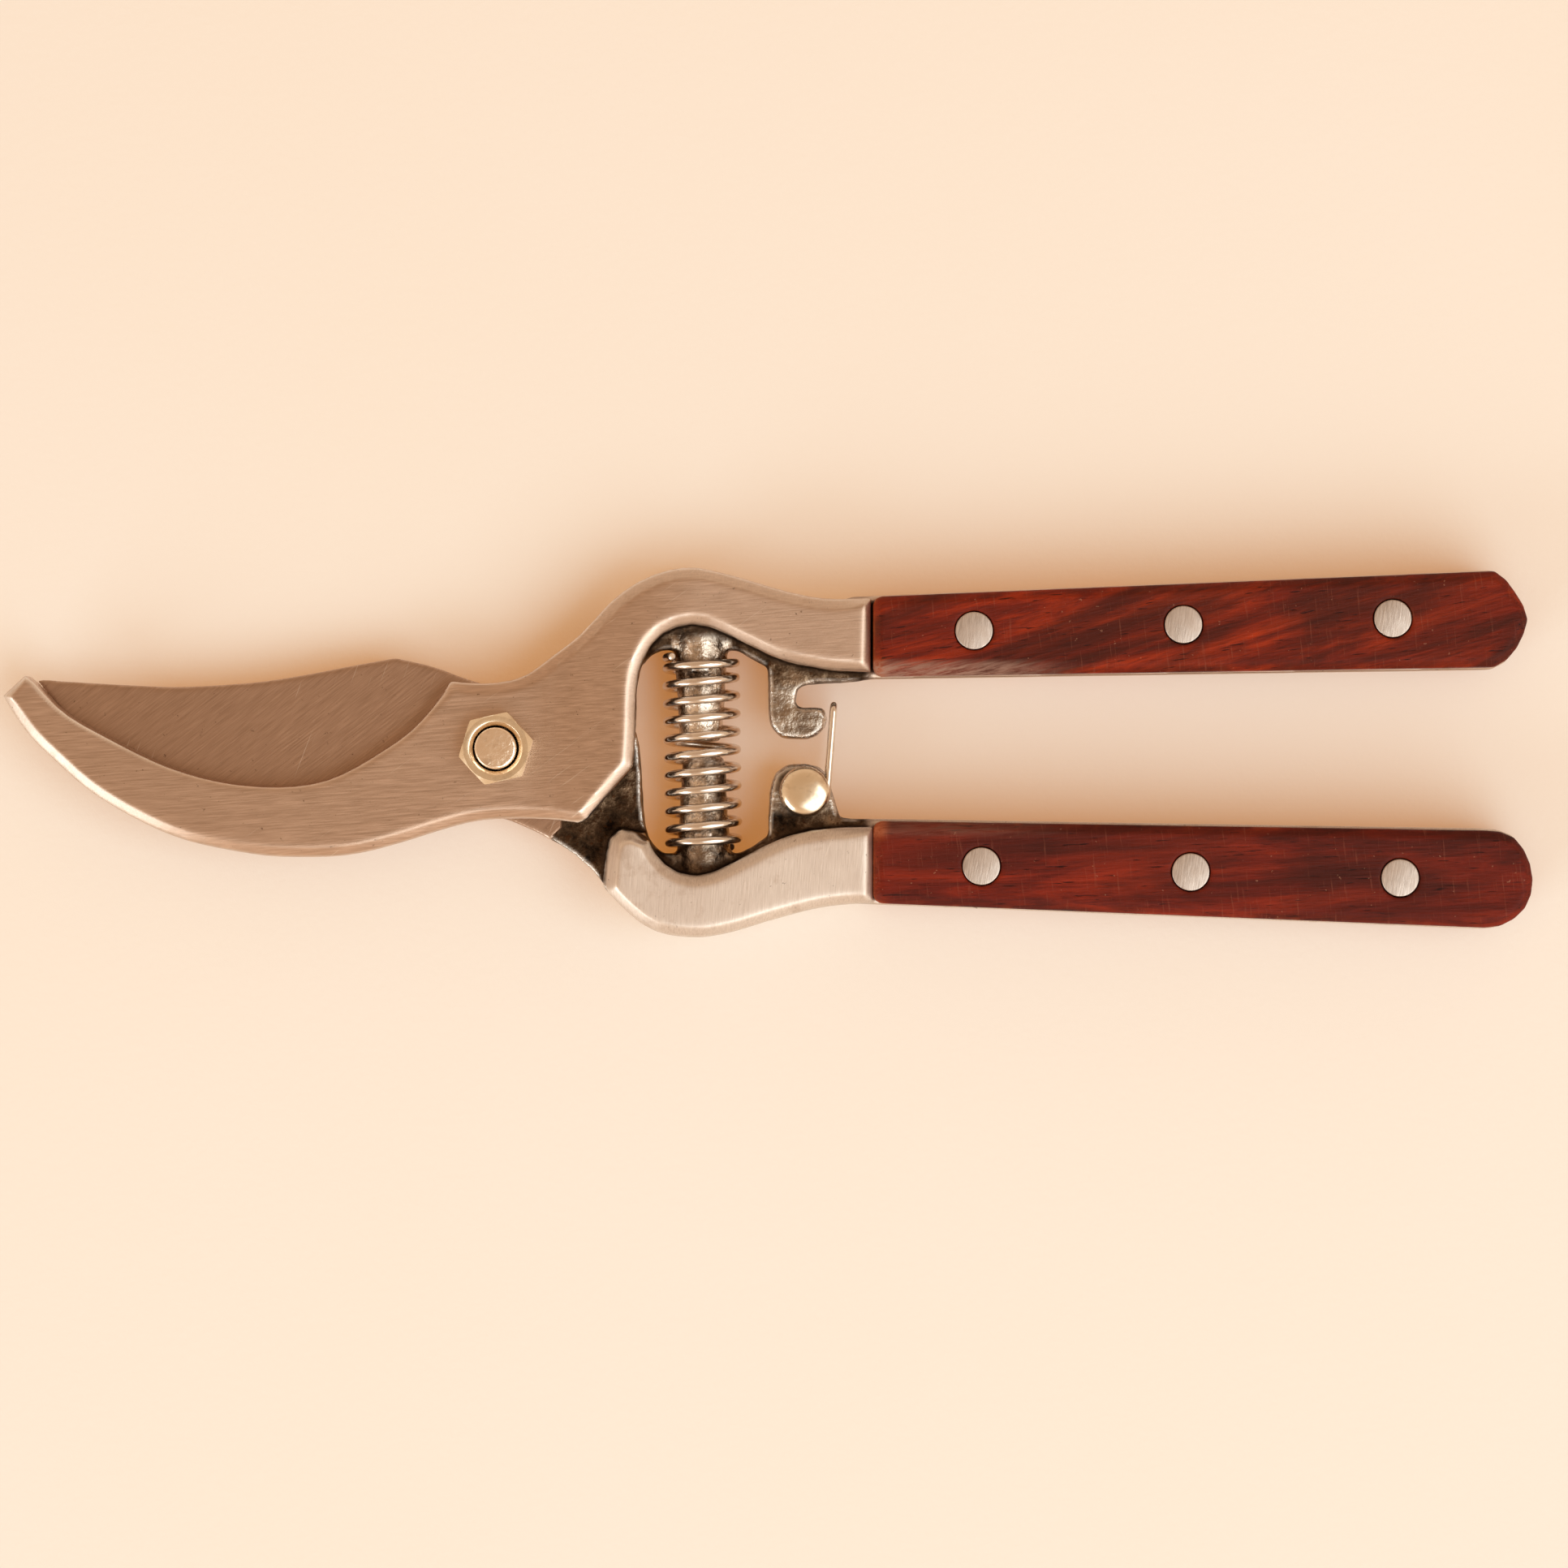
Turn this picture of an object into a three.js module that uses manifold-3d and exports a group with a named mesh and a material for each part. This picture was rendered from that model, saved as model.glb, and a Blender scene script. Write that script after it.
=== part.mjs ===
// Pruning shears with wooden handle scales, a coil return spring and a wire catch.
// Millimetres. The pivot axis is the Z axis, the jaws point along -X, the handles along +X.
// The shears lie on their back on z = 0. The hook arm has the upper (+Y) handle, the blade arm the lower one.
//
// Both arms are the same kind of forging, one turned over onto the other. So each is drawn once in its own
// frame, with its shoulder on the +Y side and its outer face up, and z = 0 at the plane where the arms meet.

import * as THREE from 'three';
import { mergeVertices } from 'three/addons/utils/BufferGeometryUtils.js';
import Module from 'manifold-3d';

const wasm = await Module();
wasm.setup();

// ---- driving dimensions ----

const BODY_THICKNESS = 13;         // over the shoulders and handles
const PLATE_THICKNESS = 4.55;      // of each arm's flat plate at the pivot
const PLATE_GAP = 0.3;             // between the two plates
const JAW_REACH = 68.4;            // pivot axis to the hook's tip
const BLADE_SETBACK = 4;           // from the hook's tip back to the blade's tip
const SHOULDER_END = 51.6;         // pivot axis to the end of the bare steel
const HANDLE_LENGTH = 90.3;        // of the wooden scales
const TANG_THICKNESS = 4;
const TANG_PROUD = 0.25;           // the tang's edge stands out of the wood by this much
const WEB_THICKNESS = 4.8;         // flange along the inside of each shoulder
const LUG_THICKNESS = 4.4;         // ears that carry the catch and its notch
const BEVEL_WIDTH = 1.4;           // forged bevel round each arm's face
const BEVEL_DEPTH = 1.2;
const FINGER_BEVEL = 1.9;          // wider bevel round the end of the full-thickness part
const EDGE_WIDTH = 0.3;            // fine bevel along a shearing edge
const GRIND_WIDTH = 6;             // the blade's ground bevel
const GRIND_END = -9.5;            // where it stops, measured from the pivot axis
const RAMP_LENGTH = 17;            // each arm's outer face rises to full height over this stretch

const BOLT_DIAMETER = 5.75;
const BOLT_CLEARANCE = 0.25;       // round the bolt, in the bores and the nut
const BOLT_HEAD_DIAMETER = 13;
const NUT_ACROSS_FLATS = 9.13;
const NUT_HEIGHT = 4.4;
const NUT_TURN = 12.75;            // degrees, from +X to the nut's first corner
const BOLT_PROUD = 0.6;            // bolt end above the nut

const POST_ROOT_DIAMETER = 7.6;
const POST_TIP_DIAMETER = 6.1;
const POST_GAP = 1.8;              // between the two posts' ends
const HOOK_POST_X = 28.05;
const BLADE_POST_X = 28.45;
const SPRING_WIRE = 1.2;
const SPRING_CLEARANCE = 0.4;      // between the post's root and the coil
const SPRING_TURNS = 11.5;
const POST_ROOT_DEPTH = 4;         // each post runs on into its shoulder behind the seat
const HOOK_SEAT = 13.6;            // pivot plane to the web's edge that the spring's end rests on
const BLADE_SEAT = 14.5;
const SEAT_GAP = 0.25;             // between the end coils and the webs
const NIB = { length: 2.7, width: 1.4, inset: 2.3 };

const CATCH_WIRE = 1;
const CATCH_REACH = 12.6;          // rivet axis to the crossbar
const CATCH_RIVET_X = 42.5;
const CATCH_RIVET_Y = 5.95;        // below the pivot plane
const CATCH_SWUNG = 18.5;          // degrees that the catch stands clear of the notch at rest
const CATCH_SIDE_GAP = 0.25;       // between a lug's face and the wire
const CATCH_SHANK_DIAMETER = 4.6;
const CATCH_HEAD_DIAMETER = 6.85;
const CATCH_HEAD_HEIGHT = 1.5;

const RIVET_HEAD_DIAMETER = 5.2;
const RIVET_HEAD_HEIGHT = 1.2;
const RIVET_SLEEVE_DIAMETER = 3.8;
const RIVET_PIN_DIAMETER = 2.2;
const RIVET_PIN_STOP = 2;          // the pin's end stays this far off the sleeve's floor
const RIVET_SLEEVE_FLOOR = 1;
const RIVET_PITCH = 28.85;
const RIVETS_PER_HANDLE = 3;

const FIT = 0.1;                   // clearance of a fixed joint between flat faces
const HOLE_FIT = 0.15;             // radial clearance of a rivet in its hole
const SCALE_GAP = 0.3;             // between the bare steel and the wood
const CURVE_STEP = 2.2;            // length of a facet along a curved outline
const ROUND_SIDES = 20;
const FAR = 200;                   // beyond everything

// ---- derived levels, in an arm's own frame ----

const HALF = BODY_THICKNESS / 2;
const BLADE_REACH = JAW_REACH - BLADE_SETBACK;
const PLATE_LOW = PLATE_GAP / 2;
const PLATE_HIGH = PLATE_LOW + PLATE_THICKNESS;
const HANDLE_START = SHOULDER_END + SCALE_GAP;
const RAMP_START = BOLT_HEAD_DIAMETER / 2 + 0.5;
const RAMP_END = RAMP_START + RAMP_LENGTH;

// ---- outlines ----
// A stretch lists points that a smooth curve passes through, or the two ends of a straight line.
// Its bevel is the width that the face is set back along it.

function sampleStretch(points) {
  const corners = points.map(([x, y]) => new THREE.Vector2(x, y));
  if (corners.length === 2) return corners;
  const curve = new THREE.SplineCurve(corners);
  return curve.getSpacedPoints(Math.max(4, Math.round(curve.getLength() / CURVE_STEP)));
}

function outline(stretches) {
  const ring = [];
  for (const { through, bevel = 0 } of stretches) {
    const points = sampleStretch(through);
    points.pop();
    for (const point of points) ring.push({ x: point.x, y: point.y, bevel });
  }
  const area = ring.reduce((sum, a, i) => {
    const b = ring[(i + 1) % ring.length];
    return sum + a.x * b.y - b.x * a.y;
  }, 0);
  return area > 0 ? ring : ring.reverse();
}

function insetRing(ring) {
  return ring.map((here, i) => {
    const before = ring[(i + ring.length - 1) % ring.length];
    const after = ring[(i + 1) % ring.length];
    const inward = new THREE.Vector2(before.y - here.y, here.x - before.x).normalize();
    const next = new THREE.Vector2(here.y - after.y, after.x - here.x).normalize();
    const mitre = inward.clone().add(next).normalize();
    const stretch = Math.min(1.6, 1 / Math.max(0.2, mitre.dot(inward)));
    const width = (before.bevel + 2 * here.bevel + after.bevel) / 4;
    return { x: here.x + mitre.x * width * stretch, y: here.y + mitre.y * width * stretch };
  });
}

// A straight-sided slab whose faces are set back by the outline's own bevels.
function slab(ring, low, high, { lowDepth = 0, highDepth = 0 } = {}) {
  const inset = insetRing(ring);
  const levels = [
    ...(lowDepth ? [[inset, low], [ring, low + lowDepth]] : [[ring, low]]),
    ...(highDepth ? [[ring, high - highDepth], [inset, high]] : [[ring, high]]),
  ];
  const count = ring.length;
  const positions = levels.flatMap(([points, z]) => points.flatMap(({ x, y }) => [x, y, z]));
  const index = [];
  for (let level = 0; level < levels.length - 1; level++) {
    for (let i = 0; i < count; i++) {
      const a = level * count + i;
      const b = level * count + ((i + 1) % count);
      index.push(a, b, b + count, a, b + count, a + count);
    }
  }
  const flat = (points) => points.map(({ x, y }) => new THREE.Vector2(x, y));
  const capOf = (points) => THREE.ShapeUtils.triangulateShape(flat(points), []);
  const top = (levels.length - 1) * count;
  for (const [a, b, c] of capOf(levels[0][0])) index.push(c, b, a);
  for (const [a, b, c] of capOf(levels.at(-1)[0])) index.push(top + a, top + b, top + c);
  const geometry = new THREE.BufferGeometry();
  geometry.setAttribute('position', new THREE.Float32BufferAttribute(positions, 3));
  geometry.setIndex(index);
  return solid(geometry);
}

// ---- solids ----

function solid(geometry) {
  const bare = geometry.clone();
  bare.deleteAttribute('normal');
  bare.deleteAttribute('uv');
  const merged = mergeVertices(bare, 1e-5);
  const mesh = new wasm.Mesh({
    numProp: 3,
    vertProperties: new Float32Array(merged.attributes.position.array),
    triVerts: new Uint32Array(merged.index.array),
  });
  return new wasm.Manifold(mesh);
}

function geometryOf(manifold) {
  const mesh = manifold.getMesh();
  const geometry = new THREE.BufferGeometry();
  geometry.setAttribute('position', new THREE.BufferAttribute(new Float32Array(mesh.vertProperties), 3));
  geometry.setIndex(new THREE.BufferAttribute(new Uint32Array(mesh.triVerts), 1));
  geometry.computeVertexNormals();
  return geometry;
}

function box([x0, y0, z0], [x1, y1, z1]) {
  const geometry = new THREE.BoxGeometry(x1 - x0, y1 - y0, z1 - z0);
  geometry.translate((x0 + x1) / 2, (y0 + y1) / 2, (z0 + z1) / 2);
  return solid(geometry);
}

// A solid of revolution about Z. The profile lists [radius, z] from the lower end of the axis to the upper.
function turned(profile, sides = ROUND_SIDES) {
  const points = profile.map(([r, z]) => new THREE.Vector2(r, z));
  const geometry = new THREE.LatheGeometry(points, sides);
  geometry.rotateX(Math.PI / 2);
  return solid(geometry);
}

function rod(diameter, low, high, sides = ROUND_SIDES) {
  const r = diameter / 2;
  return turned([[0, low], [r, low], [r, high], [0, high]], sides);
}

function tube(curve, diameter, steps, sides) {
  const shape = new THREE.Shape();
  for (let i = 0; i < sides; i++) {
    const angle = (2 * Math.PI * i) / sides;
    const point = [Math.cos(angle) * diameter / 2, Math.sin(angle) * diameter / 2];
    if (i) shape.lineTo(...point);
    else shape.moveTo(...point);
  }
  return new THREE.ExtrudeGeometry(shape, { steps, extrudePath: curve, curveSegments: 1, bevelEnabled: false });
}

function moveVertices(manifold, move) {
  const geometry = geometryOf(manifold);
  const position = geometry.attributes.position;
  for (let i = 0; i < position.count; i++) {
    const [x, y, z] = move(position.getX(i), position.getY(i), position.getZ(i));
    position.setXYZ(i, x, y, z);
  }
  return solid(geometry);
}

// ---- the arms' shared features, in an arm's own frame ----

// The outer face is low over the plate and rises along the ramp to the shoulder's full height.
function lowerOuterFace(manifold) {
  const least = PLATE_HIGH / HALF;
  const heightAt = (x) => THREE.MathUtils.clamp(
    least + ((1 - least) * (x - RAMP_START)) / (RAMP_END - RAMP_START), least, 1);
  const slices = [[-FAR, RAMP_START], [RAMP_START, RAMP_END], [RAMP_END, FAR]].map(([x0, x1]) => {
    const slice = manifold.intersect(box([x0, -FAR, -FAR], [x1, FAR, FAR]));
    return moveVertices(slice, (x, y, z) => [x, y, z > 0 ? z * heightAt(x) : z]);
  });
  return slices[0].add(slices[1]).add(slices[2]);
}

// The full-thickness part of an arm starts at this wall, which stands clear of the other arm's plate.
function shoulderBlock() {
  const wall = [[12.9, 40], [14.2, 24], [14.6, 18.4], [15.0, 14.1], [15.6, 12.2], [17.2, 10.9], [19.0, 11.4],
    [20.6, 12.9]];
  const ring = outline([
    { through: wall, bevel: FINGER_BEVEL },
    { through: [[20.6, 12.9], [24, 5]] },
    { through: [[24, 5], [FAR, 0]] },
    { through: [[FAR, 0], [FAR, 40]] },
    { through: [[FAR, 40], [12.9, 40]] },
  ]);
  return slab(ring, -HALF, FAR, { lowDepth: FINGER_BEVEL });
}

function forgedBody(stretches) {
  const bevels = { lowDepth: BEVEL_DEPTH, highDepth: BEVEL_DEPTH };
  const whole = lowerOuterFace(slab(outline(stretches), -HALF, HALF, bevels));
  const plate = whole.intersect(box([-FAR, -FAR, PLATE_LOW], [FAR, FAR, FAR]));
  return plate.add(whole.intersect(shoulderBlock()));
}

function springPost(x, seat) {
  const root = seat + POST_ROOT_DEPTH;
  const tip = POST_GAP / 2;
  const slope = (POST_ROOT_DIAMETER - POST_TIP_DIAMETER) / 2 / (seat - tip);
  const rootRadius = POST_ROOT_DIAMETER / 2 + slope * POST_ROOT_DEPTH;
  const tipRadius = POST_TIP_DIAMETER / 2;
  const chamfer = 0.6;
  const profile = [[0, tip], [tipRadius - chamfer, tip], [tipRadius, tip + chamfer], [rootRadius, root],
    [0, root]];
  const post = turned(profile).rotate([-90, 0, 0]).translate([x, 0, 0]);
  const nibMiddle = seat - NIB.inset;
  const nibs = box(
    [x - NIB.length / 2, nibMiddle - NIB.width / 2, -FAR],
    [x + NIB.length / 2, nibMiddle + NIB.width / 2, FAR]);
  const insideCoil = rod(POST_ROOT_DIAMETER + SPRING_CLEARANCE, tip, root)
    .rotate([-90, 0, 0])
    .translate([x, 0, 0]);
  return post.add(nibs.intersect(insideCoil));
}

// The handle's inner and outer sides at a distance along it.
function handleSides(handle, distance) {
  const { innerStart, innerEnd, outerStart, outerEnd } = handle;
  const share = distance / (handle.length - handle.noseLength);
  return [innerStart + (innerEnd - innerStart) * share, outerStart + (outerEnd - outerStart) * share];
}

function rivetPlaces(handle) {
  return Array.from({ length: RIVETS_PER_HANDLE }, (_, i) => {
    const distance = handle.firstRivet + i * RIVET_PITCH;
    const [inner, outer] = handleSides(handle, distance);
    return [HANDLE_START + distance, inner + (outer - inner) * handle.rivetLine];
  });
}

// A handle's outline: two straight sides that spread towards a blunt round nose.
function handleRing(handle, { proud = 0, from = HANDLE_START, bevel = 0 }) {
  const { nose, corner, noseLength } = handle;
  const end = HANDLE_START + handle.length;
  const noseStart = end - noseLength;
  const inner = (x) => handleSides(handle, x - HANDLE_START)[0] - proud;
  const outer = (x) => handleSides(handle, x - HANDLE_START)[1] + proud;
  const cut = corner * 0.3;
  const width = outer(noseStart) - inner(noseStart);
  const nosePoints = nose.map(([back, share]) => [end - back + proud, inner(noseStart) + share * width]);
  const innerFront = [from, inner(from) + corner];
  const innerSide = [from + corner, inner(from)];
  const outerFront = [from, outer(from) - corner];
  const outerSide = [from + corner, outer(from)];
  const innerNose = [noseStart, inner(noseStart)];
  const outerNose = [noseStart, outer(noseStart)];
  return outline([
    { through: [innerFront, [from + cut, inner(from) + cut], innerSide], bevel },
    { through: [innerSide, innerNose], bevel },
    { through: [innerNose, ...nosePoints, outerNose], bevel },
    { through: [outerNose, outerSide], bevel },
    { through: [outerSide, [from + cut, outer(from) - cut], outerFront], bevel },
    { through: [outerFront, innerFront], bevel },
  ]);
}

function tang(handle) {
  const tangInsideShoulder = 4;
  const ring = handleRing(handle, { proud: TANG_PROUD, from: HANDLE_START - tangInsideShoulder });
  return slab(ring, -TANG_THICKNESS / 2, TANG_THICKNESS / 2);
}

function drill(manifold, places, diameter) {
  return places.reduce(
    (rest, [x, y]) => rest.subtract(rod(diameter, -FAR, FAR).translate([x, y, 0])), manifold);
}

const HOOK_HANDLE = {
  length: HANDLE_LENGTH,
  innerStart: 9.9,
  innerEnd: 11.2,
  outerStart: 21.0,
  outerEnd: 24.5,
  corner: 1.2,
  noseLength: 4.6,
  nose: [[3.4, 0.04], [1.5, 0.20], [0.3, 0.40], [0.1, 0.56], [1.9, 0.80], [3.6, 0.96]],
  firstRivet: 13.9,
  rivetLine: 0.535,
};
const BLADE_HANDLE = {
  length: HANDLE_LENGTH + 0.7,
  innerStart: 10.0,
  innerEnd: 11.3,
  outerStart: 21.4,
  outerEnd: 24.75,
  corner: 1.2,
  noseLength: 6.6,
  nose: [[3.2, 0.04], [0.9, 0.24], [0, 0.52], [0.9, 0.78], [3.7, 0.96]],
  firstRivet: 14.9,
  rivetLine: 0.51,
};

// ---- hook arm ----

function hookArm() {
  const jaw = (share, y) => [-share * JAW_REACH, y];
  const tipLow = jaw(1, 7.3);
  const tipHigh = jaw(0.954, 10.2);
  const innerTip = jaw(0.935, 9.2);
  const hookEnd = [-6.5, 9.3];
  const body = forgedBody([
    { through: [tipLow, tipHigh], bevel: 0.7 },
    { through: [tipHigh, innerTip], bevel: EDGE_WIDTH },
    {
      through: [innerTip, jaw(0.88, 5.3), jaw(0.805, 2.2), jaw(0.655, -2.7), jaw(0.503, -5.0), jaw(0.35, -4.35),
        jaw(0.21, 0.8), jaw(0.143, 4.85), hookEnd],
      bevel: EDGE_WIDTH,
    },
    {
      through: [hookEnd, [-1.6, 9.0], [3.4, 9.9], [7.8, 12.95], [11.6, 15.9], [15.9, 20.5], [20.6, 23.6],
        [26.5, 25.05], [33.2, 23.7], [38.9, 22.0], [45, 20.75], [SHOULDER_END, 20.85]],
      bevel: BEVEL_WIDTH,
    },
    { through: [[SHOULDER_END, 20.85], [SHOULDER_END, 10.5]], bevel: 0.3 },
    {
      through: [[SHOULDER_END, 10.5], [46.8, 10.7], [43.3, 11.2], [38.9, 12.3], [33.4, 14.9], [28.8, 16.9],
        [25, 16.8], [21.8, 14.9], [19.7, 10.9], [19.2, 7.1], [19.1, 2.85], [18.75, -2.5]],
      bevel: BEVEL_WIDTH,
    },
    { through: [[18.75, -2.5], [12.3, -9.9]], bevel: BEVEL_WIDTH },
    { through: [[12.3, -9.9], [11.2, -10.3]], bevel: BEVEL_WIDTH },
    {
      through: [[11.2, -10.3], [6.5, -9.75], [-1.2, -9.8], [-6.3, -10.8], jaw(0.206, -13.2), jaw(0.3, -14.7),
        jaw(0.403, -15.0), jaw(0.503, -14.5), jaw(0.655, -12.1), jaw(0.805, -6.8), jaw(0.907, -0.9),
        jaw(0.957, 2.7), tipLow],
      bevel: BEVEL_WIDTH,
    },
  ]);
  const web = slab(outline([
    { through: [[19.9, 11.5], [21.0, 12.8], [22.6, HOOK_SEAT]], bevel: 0.6 },
    { through: [[22.6, HOOK_SEAT], [33.2, HOOK_SEAT]], bevel: 0.6 },
    { through: [[33.2, HOOK_SEAT], [35, 12.5], [37.1, 11.4], [40, 9.6], [43.2, 8.9]], bevel: 0.6 },
    { through: [[43.2, 8.9], [46, 8.96], [50.7, 9.35], [SHOULDER_END, 9.6]], bevel: 0.6 },
    { through: [[SHOULDER_END, 9.6], [SHOULDER_END, 14]] },
    { through: [[SHOULDER_END, 14], [44, 15]] },
    { through: [[44, 15], [28, 20], [18.6, 14.5], [18.4, 11.5]] },
    { through: [[18.4, 11.5], [19.9, 11.5]] },
  ]), -WEB_THICKNESS / 2, WEB_THICKNESS / 2, { lowDepth: 0.5, highDepth: 0.5 });
  const lug = slab(outline([
    { through: [[37.3, 13], [37.4, 5.2]], bevel: 0.5 },
    { through: [[37.4, 5.2], [37.8, 2.9], [39.4, 1.4]], bevel: 0.5 },
    { through: [[39.4, 1.4], [42.7, 1.2]], bevel: 0.5 },
    { through: [[42.7, 1.2], [44.3, 1.8], [45.4, 3.0], [45.7, 4.5], [45.05, 5.7]], bevel: 0.5 },
    { through: [[45.05, 5.7], [42.6, 5.7]], bevel: 0.2 },
    { through: [[42.6, 5.7], [41.6, 5.8], [41.3, 6.6]], bevel: 0.2 },
    { through: [[41.3, 6.6], [41.6, 8.3], [43.2, 8.9]], bevel: 0.2 },
    { through: [[43.2, 8.9], [46, 13]] },
    { through: [[46, 13], [37.3, 13]] },
  ]), -LUG_THICKNESS / 2, LUG_THICKNESS / 2, { lowDepth: 0.45, highDepth: 0.45 });
  const arm = body.add(web).add(springPost(HOOK_POST_X, HOOK_SEAT)).add(lug).add(tang(HOOK_HANDLE));
  const bored = drill(arm, [[0, 0]], BOLT_DIAMETER + 2 * BOLT_CLEARANCE);
  return drill(bored, rivetPlaces(HOOK_HANDLE), RIVET_SLEEVE_DIAMETER + 2 * HOLE_FIT);
}

// ---- blade arm, drawn turned over, so that its spine is towards -Y ----

function circleThrough([ax, ay], [bx, by], [cx, cy]) {
  const d = 2 * (ax * (by - cy) + bx * (cy - ay) + cx * (ay - by));
  const [a2, b2, c2] = [ax * ax + ay * ay, bx * bx + by * by, cx * cx + cy * cy];
  const x = (a2 * (by - cy) + b2 * (cy - ay) + c2 * (ay - by)) / d;
  const y = (a2 * (cx - bx) + b2 * (ax - cx) + c2 * (bx - ax)) / d;
  return { x, y, radius: Math.hypot(ax - x, ay - y) };
}

function bladeArm() {
  const blade = (share, y) => [-share * BLADE_REACH, y];
  const tip = blade(1, -9.7);
  const heel = blade(0.18, 0.6);
  const edge = circleThrough(tip, blade(0.53, 7.8), heel);
  const onEdge = (share) => {
    const x = -share * BLADE_REACH;
    return [x, edge.y + Math.sqrt(edge.radius ** 2 - (x - edge.x) ** 2)];
  };
  const spineCorner = blade(0.224, -12.6);
  const body = forgedBody([
    { through: [heel, ...[0.3, 0.42, 0.53, 0.65, 0.77, 0.88, 0.95].map(onEdge), tip], bevel: 0.02 },
    { through: [tip, blade(0.95, -9.4)], bevel: 0.02 },
    {
      through: [blade(0.95, -9.4), blade(0.79, -8.8), blade(0.68, -8.6), blade(0.53, -9.2), blade(0.424, -10.2),
        blade(0.319, -11.5), spineCorner],
      bevel: 0.4,
    },
    { through: [spineCorner, [-9.2, -11.4], [-4.9, -9.8], [-1.5, -8.8]], bevel: 0.4 },
    { through: [[-1.5, -8.8], [3, -8.6], [11.2, -9.9]], bevel: BEVEL_WIDTH },
    { through: [[11.2, -9.9], [18.9, -2.6]], bevel: BEVEL_WIDTH },
    {
      through: [[18.9, -2.6], [19.5, 0], [19.8, 4.2], [20.0, 8.5], [20.7, 12.2], [22.5, 15.4], [25.6, 17.3],
        [29, 17.3], [33.3, 15.3], [38.9, 12.5], [43.3, 11.3], [47, 10.9], [SHOULDER_END + SCALE_GAP, 10.8]],
      bevel: BEVEL_WIDTH,
    },
    { through: [[SHOULDER_END + SCALE_GAP, 10.8], [SHOULDER_END + SCALE_GAP, 21.3]], bevel: 0.3 },
    {
      through: [[SHOULDER_END + SCALE_GAP, 21.3], [45, 21.9], [37.9, 23.7], [32.6, 25.3], [27.5, 26.1],
        [21.5, 25.1], [16.5, 21.2], [12.8, 16.8], [9.9, 14.3], [5.4, 11.7], [1.3, 9.9]],
      bevel: BEVEL_WIDTH,
    },
    { through: [[1.3, 9.9], [-4.5, 8.4], [-8.2, 5], [-9.4, 2.2], heel], bevel: 0.4 },
  ]);
  const web = slab(outline([
    { through: [[20.3, 11.6], [21.4, 13.2], [22.9, BLADE_SEAT]], bevel: 0.6 },
    { through: [[22.9, BLADE_SEAT], [33.4, BLADE_SEAT]], bevel: 0.6 },
    { through: [[33.4, BLADE_SEAT], [35.4, 13.5], [37.4, 12.1], [42, 10.2], [47.3, 9.5]], bevel: 0.6 },
    { through: [[47.3, 9.5], [SHOULDER_END, 9.9]], bevel: 0.6 },
    { through: [[SHOULDER_END, 9.9], [SHOULDER_END, 15]] },
    { through: [[SHOULDER_END, 15], [44, 16]] },
    { through: [[44, 16], [28, 21], [18.9, 15], [18.6, 11.6]] },
    { through: [[18.6, 11.6], [20.3, 11.6]] },
  ]), -WEB_THICKNESS / 2, WEB_THICKNESS / 2, { lowDepth: 0.5, highDepth: 0.5 });
  const lug = slab(outline([
    { through: [[47.3, 9.5], [46.5, 6.6], [45.7, 3.6]], bevel: 0.5 },
    { through: [[45.7, 3.6], [44.6, 2.4], [42.1, 2.05], [39.8, 2.25], [38.3, 3.3]], bevel: 0.5 },
    { through: [[38.3, 3.3], [37.6, 5.9], [37.4, 9.9]], bevel: 0.5 },
    { through: [[37.4, 9.9], [37.4, 15]] },
    { through: [[37.4, 15], [47.3, 15]] },
    { through: [[47.3, 15], [47.3, 9.5]] },
  ]), -LUG_THICKNESS / 2, LUG_THICKNESS / 2, { lowDepth: 0.45, highDepth: 0.45 });
  const post = springPost(BLADE_POST_X, BLADE_SEAT);
  const arm = body.add(web).add(post).add(lug).add(tang(BLADE_HANDLE)).subtract(grind(edge));
  const bored = drill(arm, [[0, 0]], BOLT_DIAMETER + 2 * BOLT_CLEARANCE);
  const pinned = drill(bored, [[CATCH_RIVET_X, CATCH_RIVET_Y]], CATCH_SHANK_DIAMETER + 2 * HOLE_FIT);
  return drill(pinned, rivetPlaces(BLADE_HANDLE), RIVET_SLEEVE_DIAMETER + 2 * HOLE_FIT);
}

// The metal taken off the blade's outer face to leave its cutting edge: a cone about the edge's centre.
function grind(edge) {
  const land = 0.25;
  const top = PLATE_HIGH + 1;
  const low = PLATE_LOW + land;
  const setBack = (GRIND_WIDTH * (top - low)) / (PLATE_HIGH - low);
  const outside = edge.radius + 6;
  const inside = edge.radius - setBack;
  const grindSides = 96;
  const profile = [[outside, low], [outside, top], [inside, top], [edge.radius, low], [outside, low]];
  const ring = turned(profile, grindSides).translate([edge.x, edge.y, 0]);
  return ring.intersect(box([-FAR, edge.y, low - 1], [GRIND_END, FAR, top]));
}

// ---- fasteners ----

function pivotBolt() {
  const r = BOLT_DIAMETER / 2;
  const headRadius = BOLT_HEAD_DIAMETER / 2;
  const headTop = HALF - PLATE_HIGH - FIT;
  const end = HALF + PLATE_HIGH + FIT + NUT_HEIGHT + BOLT_PROUD;
  const chamfer = 0.45;
  return turned([[0, 0], [headRadius - chamfer, 0], [headRadius, chamfer], [headRadius, headTop],
    [r, headTop], [r, end - chamfer], [r - chamfer, end], [0, end]]);
}

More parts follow.
